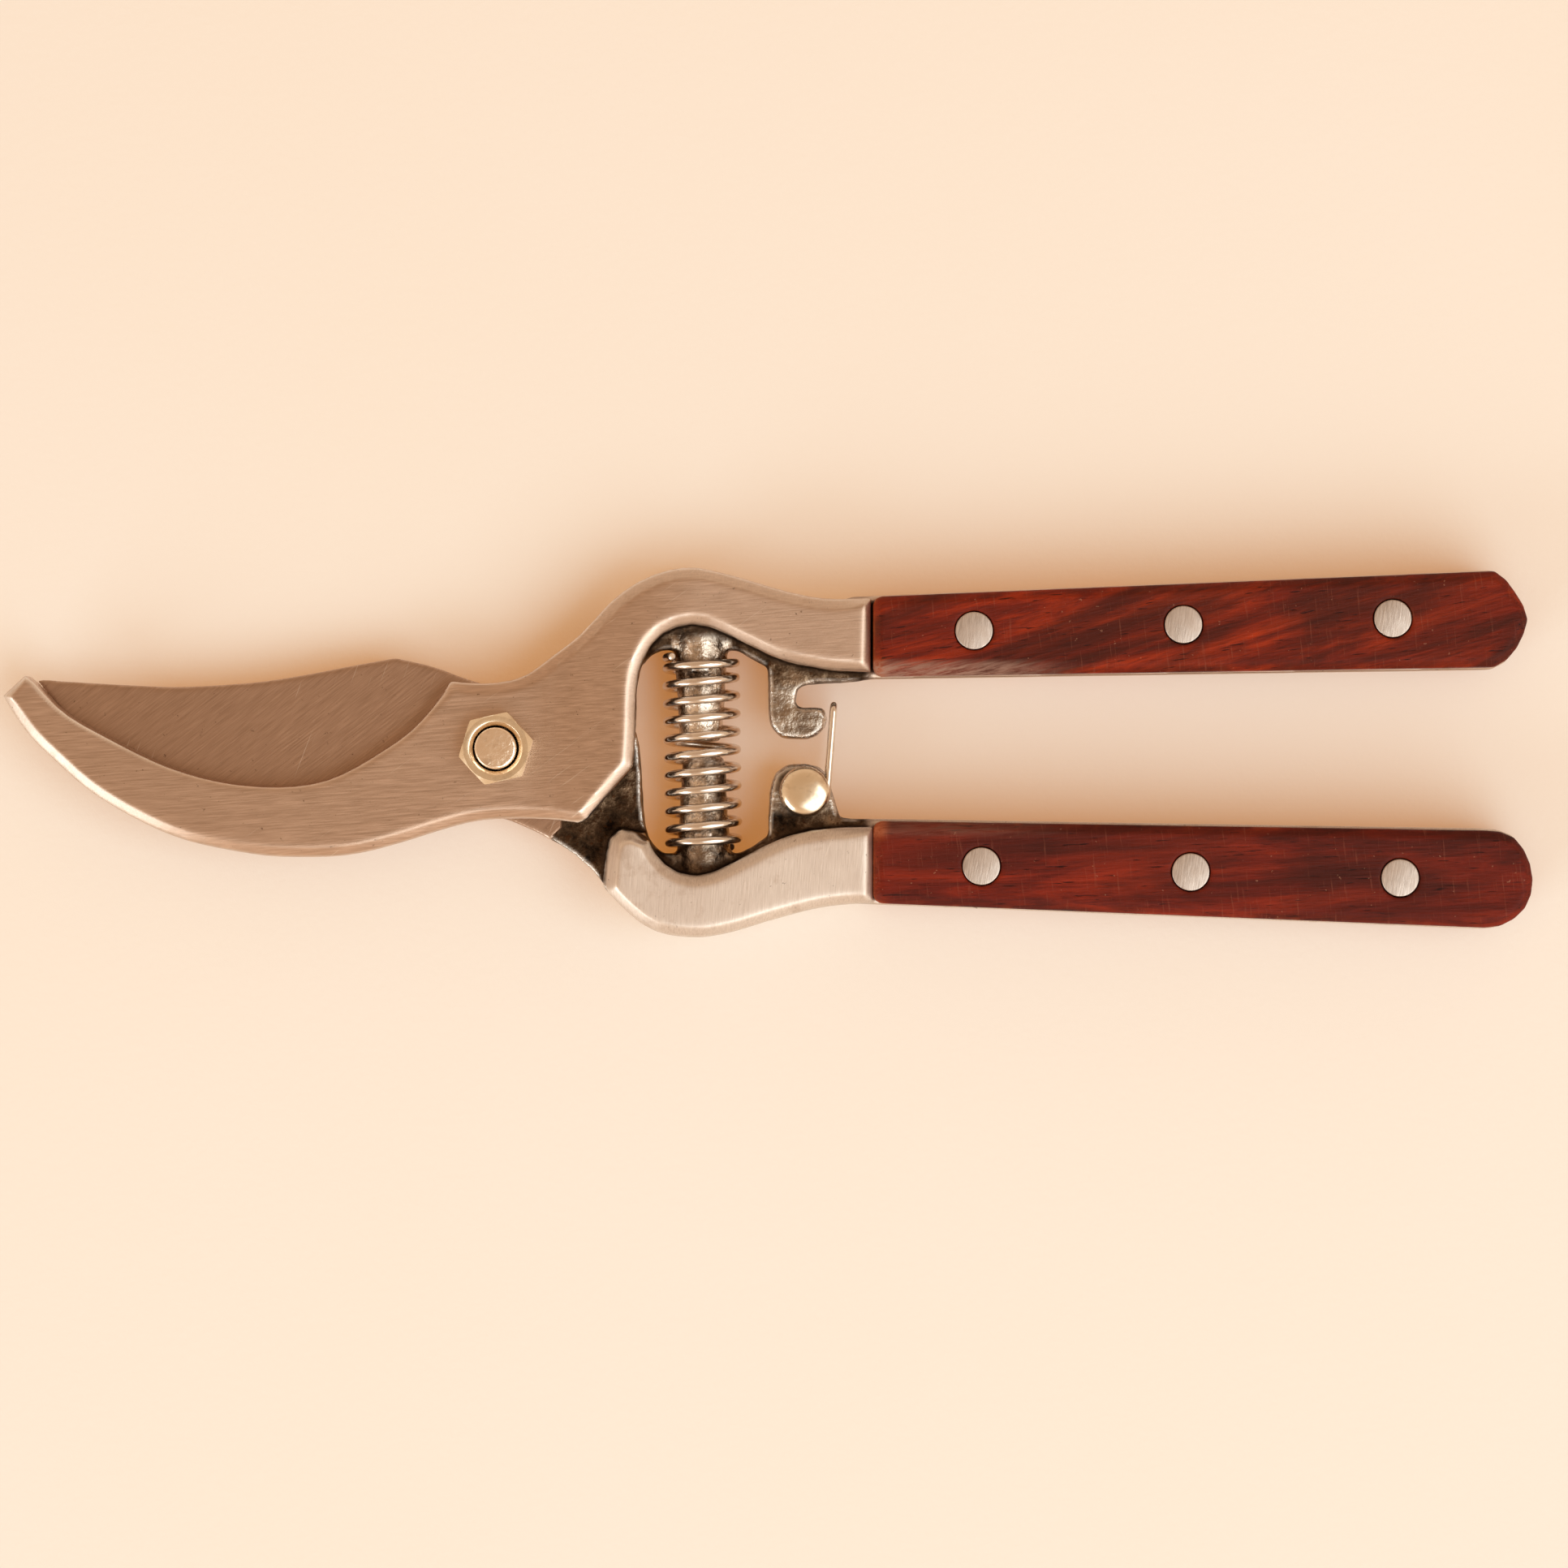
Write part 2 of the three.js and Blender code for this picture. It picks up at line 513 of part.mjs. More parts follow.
function pivotNut() {
  const low = HALF + PLATE_HIGH + FIT;
  const high = low + NUT_HEIGHT;
  const cornerRadius = NUT_ACROSS_FLATS / 2 / Math.cos(Math.PI / 6);
  const chamfer = 0.55;
  const hexagon = turned([[0, low], [cornerRadius, low], [cornerRadius, high], [0, high]], 6);
  const faceRadius = NUT_ACROSS_FLATS / 2 - 0.05;
  const outside = cornerRadius + 1;
  const barrel = turned([[0, low - 1], [outside, low - 1], [outside, high - chamfer],
    [cornerRadius, high - chamfer], [faceRadius, high], [0, high]], 2 * ROUND_SIDES);
  const hexagonCorner = 30;
  return hexagon.rotate([0, 0, NUT_TURN - hexagonCorner])
    .intersect(barrel)
    .subtract(rod(BOLT_DIAMETER + 2 * BOLT_CLEARANCE, -FAR, FAR));
}

function catchRivet() {
  const shank = CATCH_SHANK_DIAMETER / 2;
  const head = CATCH_HEAD_DIAMETER / 2;
  const under = LUG_THICKNESS / 2 + 2 * CATCH_SIDE_GAP + CATCH_WIRE;
  const domeShares = [[1, 0], [0.93, 0.45], [0.7, 0.8], [0.35, 0.97], [0, 1]];
  const dome = (z, up) => domeShares.map(([out, rise]) => [head * out, z + up * rise * CATCH_HEAD_HEIGHT]);
  return turned([...dome(-under, -1).reverse(), [shank, -under], [shank, under], ...dome(under, 1)])
    .translate([CATCH_RIVET_X, -CATCH_RIVET_Y, HALF]);
}

// ---- return spring ----

class SpringLine extends THREE.Curve {
  constructor(top, bottom, radius) {
    super();
    Object.assign(this, { top, bottom, radius });
  }

  // The end coils lie closed, a wire and a hair apart, and the rest share the length that is left.
  getPoint(t, target = new THREE.Vector3()) {
    const turn = t * SPRING_TURNS;
    const length = this.top.distanceTo(this.bottom);
    const closedPitch = SPRING_WIRE * 1.12;
    const openPitch = (length - 2 * closedPitch) / (SPRING_TURNS - 2);
    const run = THREE.MathUtils.clamp(turn - 1, 0, SPRING_TURNS - 2) * openPitch
      + (Math.min(turn, 1) + Math.max(0, turn - (SPRING_TURNS - 1))) * closedPitch;
    const angle = 2 * Math.PI * turn + Math.PI * 0.8;
    target.lerpVectors(this.top, this.bottom, run / length);
    target.x += this.radius * Math.cos(angle);
    target.z += this.radius * Math.sin(angle);
    return target;
  }
}

function returnSpring() {
  const radius = POST_ROOT_DIAMETER / 2 + SPRING_CLEARANCE + SPRING_WIRE / 2;
  const inset = SPRING_WIRE / 2 + SEAT_GAP;
  const top = new THREE.Vector3(HOOK_POST_X, HOOK_SEAT - inset, HALF);
  const bottom = new THREE.Vector3(BLADE_POST_X, inset - BLADE_SEAT, HALF);
  const segmentsPerTurn = 16;
  return tube(new SpringLine(top, bottom, radius), SPRING_WIRE, Math.round(SPRING_TURNS * segmentsPerTurn), 6);
}

// ---- catch ----

// One wire: an eye round the rivet, a leg up the front, a bend, the crossbar, and the same down the back.
function catchLoop() {
  const eyeRadius = CATCH_SHANK_DIAMETER / 2 + CATCH_SIDE_GAP + CATCH_WIRE / 2;
  const side = LUG_THICKNESS / 2 + CATCH_SIDE_GAP + CATCH_WIRE / 2;
  const bend = CATCH_WIRE * 0.9;
  const lean = Math.asin(eyeRadius / CATCH_REACH);
  const tangent = new THREE.Vector2(Math.cos(lean) * eyeRadius, Math.sin(lean) * eyeRadius);
  const crossbar = new THREE.Vector2(0, CATCH_REACH);
  const along = crossbar.clone().sub(tangent).normalize();
  const eyeTurn = THREE.MathUtils.degToRad(285);
  const front = [];
  const eyeSteps = 16;
  for (let i = 0; i < eyeSteps; i++) {
    const angle = lean - eyeTurn * (1 - i / eyeSteps);
    front.push(new THREE.Vector3(Math.cos(angle) * eyeRadius, Math.sin(angle) * eyeRadius, side));
  }
  const legSteps = 5;
  const bendStart = crossbar.clone().addScaledVector(along, -bend);
  for (let i = 0; i <= legSteps; i++) {
    const point = tangent.clone().lerp(bendStart, i / legSteps);
    front.push(new THREE.Vector3(point.x, point.y, side));
  }
  const bendSteps = 4;
  for (let i = 1; i <= bendSteps; i++) {
    const angle = (Math.PI / 2) * (i / bendSteps);
    const point = bendStart.clone().addScaledVector(along, bend * Math.sin(angle));
    front.push(new THREE.Vector3(point.x, point.y, side - bend * (1 - Math.cos(angle))));
  }
  const back = front.map((point) => new THREE.Vector3(point.x, point.y, -point.z)).reverse();
  const path = new THREE.CatmullRomCurve3([...front, ...back], false, 'centripetal');
  return tube(path, CATCH_WIRE, 110, 6);
}

// ---- handle scales and their rivets ----

function scale(handle) {
  const ring = handleRing(handle, { bevel: 1.1 });
  const board = slab(ring, TANG_THICKNESS / 2 + FIT, HALF, { highDepth: 0.8 });
  const places = rivetPlaces(handle);
  const seats = places.reduce((rest, [x, y]) => {
    const seat = rod(RIVET_HEAD_DIAMETER + 2 * HOLE_FIT, HALF - RIVET_HEAD_HEIGHT - FIT, FAR);
    return rest.subtract(seat.translate([x, y, 0]));
  }, board);
  return drill(seats, places, RIVET_SLEEVE_DIAMETER + 2 * HOLE_FIT);
}

// A two-part rivet. The front half's pin fits in the back half's sleeve.
function rivetFront() {
  const head = RIVET_HEAD_DIAMETER / 2;
  const pin = RIVET_PIN_DIAMETER / 2;
  const under = HALF - RIVET_HEAD_HEIGHT;
  const pinEnd = -HALF + RIVET_HEAD_HEIGHT + RIVET_SLEEVE_FLOOR + RIVET_PIN_STOP;
  return turned([[0, pinEnd], [pin, pinEnd], [pin, under], [head, under], [head, HALF], [0, HALF]]);
}

function rivetBack() {
  const head = RIVET_HEAD_DIAMETER / 2;
  const sleeve = RIVET_SLEEVE_DIAMETER / 2;
  const bore = RIVET_PIN_DIAMETER / 2 + HOLE_FIT;
  const over = -HALF + RIVET_HEAD_HEIGHT;
  const mouth = HALF - RIVET_HEAD_HEIGHT - FIT;
  const floor = over + RIVET_SLEEVE_FLOOR;
  return turned([[0, -HALF], [head, -HALF], [head, over], [sleeve, over], [sleeve, mouth], [bore, mouth],
    [bore, floor], [0, floor]]);
}

// ---- assembly ----

const steel = { color: 0xb8a08a, roughness: 0.38, metalness: 1 };
const nickel = { color: 0xd8cbb8, roughness: 0.2, metalness: 1 };
const springSteel = { color: 0xc4b6a6, roughness: 0.25, metalness: 1 };
const rivetSteel = { color: 0xc9bfb4, roughness: 0.4, metalness: 1 };
const wood = { color: 0x6f2416, roughness: 0.5, metalness: 0 };

function mesh(name, shape, finish) {
  const geometry = shape.isBufferGeometry ? shape : geometryOf(shape);
  const piece = new THREE.Mesh(geometry, new THREE.MeshStandardMaterial(finish));
  piece.name = name;
  return piece;
}

// An arm's own frame in the shears: the hook arm face up, the blade arm turned over below it.
function armFrame(side) {
  const frame = new THREE.Group();
  frame.position.z = HALF;
  if (side === 'lower') frame.rotation.x = Math.PI;
  return frame;
}

function addHandle(side, handle, frame) {
  const front = side === 'upper' ? 'front' : 'back';
  const back = side === 'upper' ? 'back' : 'front';
  const outer = scale(handle);
  frame.add(mesh(`${side}_scale_${front}`, outer, wood));
  frame.add(mesh(`${side}_scale_${back}`, outer.mirror([0, 0, 1]), wood));
  rivetPlaces(handle).forEach(([x, y], i) => {
    const turnOver = side === 'upper' ? [0, 0, 0] : [180, 0, 0];
    const inPlace = (half) => half.rotate(turnOver).translate([x, y, 0]);
    frame.add(mesh(`${side}_rivet_${i + 1}_front`, inPlace(rivetFront()), rivetSteel));
    frame.add(mesh(`${side}_rivet_${i + 1}_back`, inPlace(rivetBack()), rivetSteel));
  });
}

const shears = new THREE.Group();
const hookFrame = armFrame('upper');
const bladeFrame = armFrame('lower');
hookFrame.add(mesh('hook_arm', hookArm(), steel));
bladeFrame.add(mesh('blade_arm', bladeArm(), steel));
addHandle('upper', HOOK_HANDLE, hookFrame);
addHandle('lower', BLADE_HANDLE, bladeFrame);
shears.add(hookFrame, bladeFrame);
shears.add(mesh('pivot_bolt', pivotBolt(), nickel));
shears.add(mesh('pivot_nut', pivotNut(), nickel));
shears.add(mesh('return_spring', returnSpring(), springSteel));
shears.add(mesh('catch_rivet', catchRivet(), nickel));

const catchWire = mesh('catch_loop', catchLoop(), nickel);
catchWire.position.set(CATCH_RIVET_X, -CATCH_RIVET_Y, HALF);
catchWire.rotation.z = -THREE.MathUtils.degToRad(CATCH_SWUNG);
shears.add(catchWire);

export default shears;
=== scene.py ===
# Pruning shears: the looks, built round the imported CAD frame. Metres, in the CAD's own frame.

import math

import bpy
import numpy as np
from mathutils import Matrix, Vector, noise


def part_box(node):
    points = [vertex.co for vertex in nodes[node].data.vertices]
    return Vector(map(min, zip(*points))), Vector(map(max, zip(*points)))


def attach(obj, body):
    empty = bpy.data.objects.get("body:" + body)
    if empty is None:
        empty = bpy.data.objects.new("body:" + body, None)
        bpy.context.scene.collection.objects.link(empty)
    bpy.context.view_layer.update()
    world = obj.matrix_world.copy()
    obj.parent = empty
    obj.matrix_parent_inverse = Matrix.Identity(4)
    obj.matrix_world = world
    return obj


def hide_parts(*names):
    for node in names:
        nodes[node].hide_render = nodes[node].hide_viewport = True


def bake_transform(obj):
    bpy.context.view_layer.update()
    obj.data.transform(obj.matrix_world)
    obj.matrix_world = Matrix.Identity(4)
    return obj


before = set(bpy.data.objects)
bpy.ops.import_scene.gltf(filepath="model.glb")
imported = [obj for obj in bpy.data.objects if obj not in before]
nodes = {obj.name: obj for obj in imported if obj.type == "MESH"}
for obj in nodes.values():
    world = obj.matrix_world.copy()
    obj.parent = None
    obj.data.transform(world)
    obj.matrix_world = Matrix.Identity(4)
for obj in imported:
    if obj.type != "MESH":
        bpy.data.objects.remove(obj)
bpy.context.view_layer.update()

MM = 0.001
scene = bpy.context.scene


# ---- places taken from the frame ----

def corner(node):
    low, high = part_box(node)
    return Vector(low), Vector(high)


def middle(node):
    low, high = corner(node)
    return (low + high) / 2


BODY_TOP = corner("upper_scale_front")[1].z
HALF = BODY_TOP / 2
NUT_LOW, NUT_HIGH = corner("pivot_nut")
BOLT_LOW, BOLT_HIGH = corner("pivot_bolt")
SHOULDER_END = corner("upper_scale_front")[0].x


# ---- camera, floor and light ----

CAMERA_HEIGHT = 0.75
LENS = 125
SENSOR = 36
AIM = Vector((0.0396, -0.0049))

camera_data = bpy.data.cameras.new("camera")
camera_data.lens = LENS
camera_data.sensor_width = SENSOR
camera_data.clip_start = 0.01
camera = bpy.data.objects.new("camera", camera_data)
scene.collection.objects.link(camera)
camera.location = (AIM.x, AIM.y, BODY_TOP + CAMERA_HEIGHT)
scene.camera = camera


def lamp(name, place, aim, size, power, colour, shape="RECTANGLE", size_y=None):
    data = bpy.data.lights.new(name, "AREA")
    data.shape = shape
    data.size = size
    if size_y:
        data.size_y = size_y
    data.energy = power
    data.color = colour
    thing = bpy.data.objects.new(name, data)
    scene.collection.objects.link(thing)
    thing.location = place
    direction = Vector(aim) - Vector(place)
    thing.rotation_euler = direction.to_track_quat("-Z", "Y").to_euler()
    return thing


DAYLIGHT = (0.86, 0.97, 1.0)
lamp("key", (0.85, -0.60, 1.25), (0.04, 0, 0), 1.7, 17.5, DAYLIGHT, size_y=1.5)
lamp("side", (-0.85, -0.75, 0.55), (0, 0, 0), 0.7, 4.5, DAYLIGHT, size_y=0.5)


def studio_world():
    """A warm, dim ceiling over paler walls, darker on the far side."""
    world = bpy.data.worlds.new("world")
    scene.world = world
    world.use_nodes = True
    tree = world.node_tree
    place = tree.nodes.new("ShaderNodeTexCoord")
    parts = tree.nodes.new("ShaderNodeSeparateXYZ")
    ramp = tree.nodes.new("ShaderNodeValToRGB")
    shade = tree.nodes.new("ShaderNodeMapRange")
    for key, number in (("From Min", -0.8), ("From Max", 0.8), ("To Min", 1.08), ("To Max", 0.92)):
        shade.inputs[key].default_value = number
    tree.links.new(place.outputs["Generated"], parts.inputs[0])
    tree.links.new(parts.outputs["Z"], ramp.inputs[0])
    tree.links.new(parts.outputs["Y"], shade.inputs["Value"])
    tree.links.new(ramp.outputs[0], tree.nodes["Background"].inputs["Color"])
    tree.links.new(shade.outputs[0], tree.nodes["Background"].inputs["Strength"])
    stops = [
        (0.0, (0.80, 0.56, 0.37)),
        (0.45, (0.84, 0.58, 0.39)),
        (0.8, (0.66, 0.43, 0.265)),
        (1.0, (0.60, 0.395, 0.245)),
    ]
    while len(ramp.color_ramp.elements) < len(stops):
        ramp.color_ramp.elements.new(0.5)
    for element, (at, colour) in zip(ramp.color_ramp.elements, stops):
        element.position = at
        element.color = (*colour, 1)


studio_world()
scene.view_settings.view_transform = "Standard"


# ---- materials ----

class Shader:
    """One material's node tree, built from short calls."""

    def __init__(self, name):
        self.material = bpy.data.materials.new(name)
        self.material.use_nodes = True
        self.tree = self.material.node_tree
        self.bsdf = self.tree.nodes["Principled BSDF"]
        self.place = self.tree.nodes.new("ShaderNodeTexCoord").outputs["Object"]

    def node(self, kind, **settings):
        made = self.tree.nodes.new("ShaderNode" + kind)
        for key, value in settings.items():
            setattr(made, key, value)
        return made

    def link(self, source, target):
        self.tree.links.new(source, target)

    def feed(self, socket, value):
        if isinstance(value, bpy.types.NodeSocket):
            self.link(value, socket)
        else:
            socket.default_value = value

    def stretch(self, scale, turn=0.0, tilt=(0.0, 0.0)):
        """Object coordinates turned about Z by `turn` degrees, then scaled along the turned axes."""
        spin = self.node("Mapping", vector_type="TEXTURE")
        angles = (tilt[0], tilt[1], turn)
        spin.inputs["Rotation"].default_value = tuple(math.radians(angle) for angle in angles)
        self.link(self.place, spin.inputs["Vector"])
        sizes = self.node("Mapping")
        sizes.inputs["Scale"].default_value = scale
        self.link(spin.outputs["Vector"], sizes.inputs["Vector"])
        return sizes.outputs["Vector"]

    def noise(self, vector, scale=1.0, detail=4.0, rough=0.55, distortion=0.0):
        made = self.node("TexNoise")
        self.link(vector, made.inputs["Vector"])
        made.inputs["Scale"].default_value = scale
        made.inputs["Detail"].default_value = detail
        made.inputs["Roughness"].default_value = rough
        made.inputs["Distortion"].default_value = distortion
        return made.outputs["Fac"]

    def ramp(self, value, stops):
        made = self.node("ValToRGB")
        self.link(value, made.inputs["Fac"])
        ramp = made.color_ramp
        while len(ramp.elements) < len(stops):
            ramp.elements.new(0.5)
        for element, (at, colour) in zip(ramp.elements, stops):
            element.position = at
            element.color = (*colour, 1) if isinstance(colour, tuple) else (colour, colour, colour, 1)
        return made.outputs["Color"]

    def span(self, value, low, high, to_low=0.0, to_high=1.0):
        made = self.node("MapRange")
        for key, number in (("From Min", low), ("From Max", high), ("To Min", to_low), ("To Max", to_high)):
            made.inputs[key].default_value = number
        self.link(value, made.inputs["Value"])
        return made.outputs["Result"]

    def math(self, operation, a, b=0.5):
        made = self.node("Math", operation=operation)
        self.feed(made.inputs[0], a)
        self.feed(made.inputs[1], b)
        return made.outputs[0]

    def mix(self, share, a, b, blend="MIX"):
        made = self.node("Mix", data_type="RGBA", blend_type=blend)
        self.feed(made.inputs["Factor"], share)
        for socket, colour in ((made.inputs[6], a), (made.inputs[7], b)):
            self.feed(socket, (*colour, 1) if isinstance(colour, tuple) else colour)
        return made.outputs[2]

    def bump(self, height, distance, strength=1.0, under=None):
        made = self.node("Bump")
        made.inputs["Distance"].default_value = distance
        made.inputs["Strength"].default_value = strength
        self.link(height, made.inputs["Height"])
        if under:
            self.link(under, made.inputs["Normal"])
        return made.outputs["Normal"]

    def finish(self, colour, rough, normal=None, metallic=0.0, coat=0.0, coat_rough=0.1, specular=0.5):
        inputs = self.bsdf.inputs
        self.feed(inputs["Base Color"], (*colour, 1) if isinstance(colour, tuple) else colour)
        self.feed(inputs["Roughness"], rough)
        self.feed(inputs["Metallic"], metallic)
        inputs["Coat Weight"].default_value = coat
        inputs["Coat Roughness"].default_value = coat_rough
        inputs["Specular IOR Level"].default_value = specular
        if normal:
            self.link(normal, inputs["Normal"])
        return self.material


def attribute(shader, name):
    made = shader.node("Attribute", attribute_name=name)
    return made.outputs["Fac"]


def glowing_paper():
    s = Shader("glowing_paper")
    fibre = s.noise(s.stretch((900, 900, 900)), 1.0, 5.0)
    cloud = s.noise(s.stretch((9, 9, 9)), 1.0, 2.0)
    colour = s.ramp(cloud, [(0.35, (0.56, 0.71, 0.745)), (0.65, (0.56, 0.715, 0.76))])
    # painted light: the paper glows orange so its shadows and the light it throws on the metal come out warm;
    # its own colour is set bluer to make up for it
    s.bsdf.inputs["Emission Color"].default_value = (1.0, 0.31, 0.03, 1)
    s.bsdf.inputs["Emission Strength"].default_value = 0.36
    return s.finish(colour, 0.85, s.bump(fibre, 0.00012, 0.35), specular=0.1)


def brushed_steel(name, base, dark, turn, turn_pale):
    """Satin steel. The mesh says where it is bare forging (rough), where a post is hammered (post), where the
    ground face is paler and brushed another way and where sideways bevels get painted light (pale), and where
    a corner is painted bright, partly worn and partly a painted highlight (edge)."""
    s = Shader(name)
    rough_part, edge, pale, post = (attribute(s, n) for n in ("rough", "edge", "pale", "post"))
    main = s.noise(s.stretch((240, 5200, 3000), turn), 1.0, 3.0, 0.6)
    other = s.noise(s.stretch((330, 5600, 3000), turn_pale), 1.0, 3.0, 0.6)
    lines = s.mix(s.span(pale, 0.05, 0.85), main, other)
    scratch = s.noise(s.stretch((70, 3400, 800), turn + 31), 1.0, 2.0, 0.4)
    cloud = s.noise(s.stretch((55, 55, 55)), 1.0, 3.0)
    stain = s.noise(s.stretch((170, 170, 170)), 1.0, 5.0, 0.7)
    speck = s.noise(s.stretch((1150, 1150, 1150)), 1.0, 4.0, 0.65)
    pits = s.noise(s.stretch((1500, 1500, 1500)), 1.0, 3.0, 0.6)
    crust = s.noise(s.stretch((260, 260, 260)), 1.0, 5.0, 0.7)
    darker = tuple(c * 0.80 for c in base)
    lighter = tuple(min(1, c * 1.16) for c in base)
    tone = s.ramp(lines, [(0.28, darker), (0.72, lighter)])
    bare = s.ramp(lines, [(0.3, (0.72, 0.66, 0.60)), (0.7, (0.90, 0.84, 0.78))])
    bare = s.mix(s.span(stain, 0.56, 0.72, 0.0, 0.5), bare, (0.40, 0.28, 0.19))
    # paler ground finish, and on sideways bevels painted light
    tone = s.mix(pale, tone, bare)
    tone = s.mix(s.span(cloud, 0.3, 0.75, 0.0, 0.35), tone, tuple(c * 0.86 for c in base))
    tone = s.mix(s.span(speck, 0.66, 0.72, 0.0, 0.6), tone, dark)
    tone = s.mix(s.span(scratch, 0.70, 0.74, 0.0, 0.35), tone, (0.85, 0.78, 0.70))
    forging = s.ramp(
        crust, [(0.34, (0.010, 0.006, 0.004)), (0.5, (0.070, 0.041, 0.023)), (0.68, (0.27, 0.19, 0.125))])
    forging = s.mix(s.span(pits, 0.56, 0.68, 0.0, 0.8), forging, (0.05, 0.018, 0.006))
    hammered = s.ramp(
        stain, [(0.34, (0.05, 0.034, 0.024)), (0.47, (0.34, 0.27, 0.21)), (0.60, (0.82, 0.73, 0.63))])
    tone = s.mix(rough_part, tone, s.mix(post, forging, hammered))
    # painted shade: hollows are darkened almost to black
    tone = s.mix(attribute(s, "hollow_shade"), tone, (0.045, 0.028, 0.018))
    # ridges painted bright: partly rubbed wear, partly a painted highlight
    tone = s.mix(s.math("MULTIPLY", edge, s.span(crust, 0.3, 0.7, 0.55, 1.0)), tone, (0.93, 0.87, 0.81))
    polish = s.mix(pale, s.span(lines, 0.3, 0.7, 0.31, 0.39), (0.52, 0.52, 0.52))
    forged_polish = s.mix(post, s.span(crust, 0.3, 0.7, 0.62, 0.34), (0.22, 0.22, 0.22))
    polish = s.mix(rough_part, polish, forged_polish)
    polish = s.mix(edge, polish, (0.24, 0.24, 0.24))
    fine = s.bump(lines, 0.000012, 0.9)
    fine = s.bump(scratch, 0.00001, 0.4, fine)
    shape = s.math("MULTIPLY", s.math("ADD", crust, s.math("MULTIPLY", pits, 0.4)), rough_part)
    normal = s.bump(shape, 0.00040, 0.9, fine)
    return s.finish(tone, polish, normal, metallic=1.0)


def bright_metal(name, base, stain, rough=0.16, wear=0.5, dent=0.0):
    s = Shader(name)
    blotch = s.noise(s.stretch((420, 420, 420)), 1.0, 4.0, 0.6)
    fine = s.noise(s.stretch((2600, 2600, 2600)), 1.0, 3.0)
    colour = s.mix(s.span(blotch, 0.52, 0.7, 0.0, wear), base, stain)
    polish = s.span(blotch, 0.3, 0.7, rough, rough + 0.14)
    normal = s.bump(fine, 0.000012, 0.6)
    if dent:
        normal = s.bump(s.noise(s.stretch((1300, 1300, 1300)), 1.0, 2.0), dent, 0.8, normal)
    return s.finish(colour, polish, normal, metallic=1.0)


def rivet_metal():
    s = Shader("rivet_metal")
    lines = s.noise(s.stretch((500, 6000, 6000), 82), 1.0, 3.0, 0.6)
    blotch = s.noise(s.stretch((330, 330, 330)), 1.0, 3.0)
    colour = s.ramp(lines, [(0.3, (0.42, 0.36, 0.32)), (0.7, (0.66, 0.59, 0.54))])
    colour = s.mix(s.span(blotch, 0.5, 0.75, 0.0, 0.5), colour, (0.50, 0.40, 0.33))
    polish = s.span(blotch, 0.3, 0.7, 0.40, 0.52)
    return s.finish(colour, polish, s.bump(lines, 0.00002, 0.8), metallic=1.0)


def wood(name, deep, mid, bright, turn, contrast):
    """Oiled red wood: streaks, short dark pores and cross scratches.
    It is raw orange where chipped and greyed where rubbed."""
    s = Shader(name)
    streak = s.noise(s.stretch((34, 300, 300), turn), 1.0, 7.0, 0.68, 0.7)
    band = s.noise(s.stretch((16, 80, 80), turn * 1.5), 1.0, 4.0, 0.6, 1.2)
    patch = s.noise(s.stretch((30, 95, 95), turn), 1.0, 3.0, 0.5, 0.3)
    pores = s.noise(s.stretch((300, 3200, 3200), turn * 0.4), 1.0, 2.0, 0.5)
    fibre = s.noise(s.stretch((210, 2300, 2300), turn), 1.0, 5.0, 0.7)
    scratch = s.noise(s.stretch((2600, 170, 300), 6), 1.0, 3.0, 0.6)
    dust = s.noise(s.stretch((1500, 1500, 1500)), 1.0, 2.0)
    colour = s.ramp(streak, [(0.30, deep), (0.48, mid), (0.66, bright)])
    colour = s.mix(s.span(patch, 0.50, 0.66, 0.0, 0.75), colour, s.mix(s.span(fibre, 0.3, 0.7), mid, bright))
    colour = s.mix(s.span(band, 0.44, 0.62, 0.0, contrast), colour, deep)
    colour = s.mix(s.span(fibre, 0.52, 0.68, 0.0, 0.45), colour, tuple(c * 0.5 for c in deep))
    colour = s.mix(s.span(scratch, 0.60, 0.72, 0.0, 0.22), colour, (0.30, 0.10, 0.06))
    colour = s.mix(s.span(pores, 0.66, 0.72, 0.0, 0.85), colour, tuple(c * 0.18 for c in deep))
    colour = s.mix(s.span(dust, 0.72, 0.76, 0.0, 0.35), colour, (0.42, 0.22, 0.14))
    raw = s.math("MULTIPLY", attribute(s, "worn"), s.span(fibre, 0.35, 0.6, 0.45, 1.0))
    colour = s.mix(raw, colour, (0.50, 0.115, 0.03))
    rubbed = s.math("MULTIPLY", attribute(s, "rubbed"), s.span(fibre, 0.36, 0.62, 0.15, 0.85))
    colour = s.mix(rubbed, colour, (0.34, 0.20, 0.15))
    rough = s.span(streak, 0.3, 0.7, 0.50, 0.36)
    rough = s.mix(raw, rough, (0.6, 0.6, 0.6))
    height = s.math("ADD", fibre, s.math("MULTIPLY", pores, -0.8))
    height = s.math("ADD", height, s.math("MULTIPLY", scratch, 0.5))
    return s.finish(colour, rough, s.bump(height, 0.00009, 0.9), specular=0.12)


HOOK_STEEL = brushed_steel("hook_steel", (0.58, 0.42, 0.32), (0.10, 0.06, 0.035), 4, 74)
BLADE_STEEL = brushed_steel("blade_steel", (0.45, 0.30, 0.215), (0.10, 0.06, 0.035), 38, 86)
NICKEL = bright_metal("nickel", (0.88, 0.77, 0.60), (0.42, 0.28, 0.15), 0.15)
BOLT_METAL = bright_metal("bolt_metal", (0.93, 0.79, 0.64), (0.40, 0.25, 0.12), 0.17, 0.6, 0.00008)
SPRING_STEEL = bright_metal("spring_steel", (0.78, 0.71, 0.64), (0.38, 0.28, 0.20), 0.13, 0.35)
CATCH_STEEL = bright_metal("catch_steel", (0.82, 0.75, 0.67), (0.45, 0.34, 0.24), 0.12, 0.3)
RIVET_STEEL = rivet_metal()
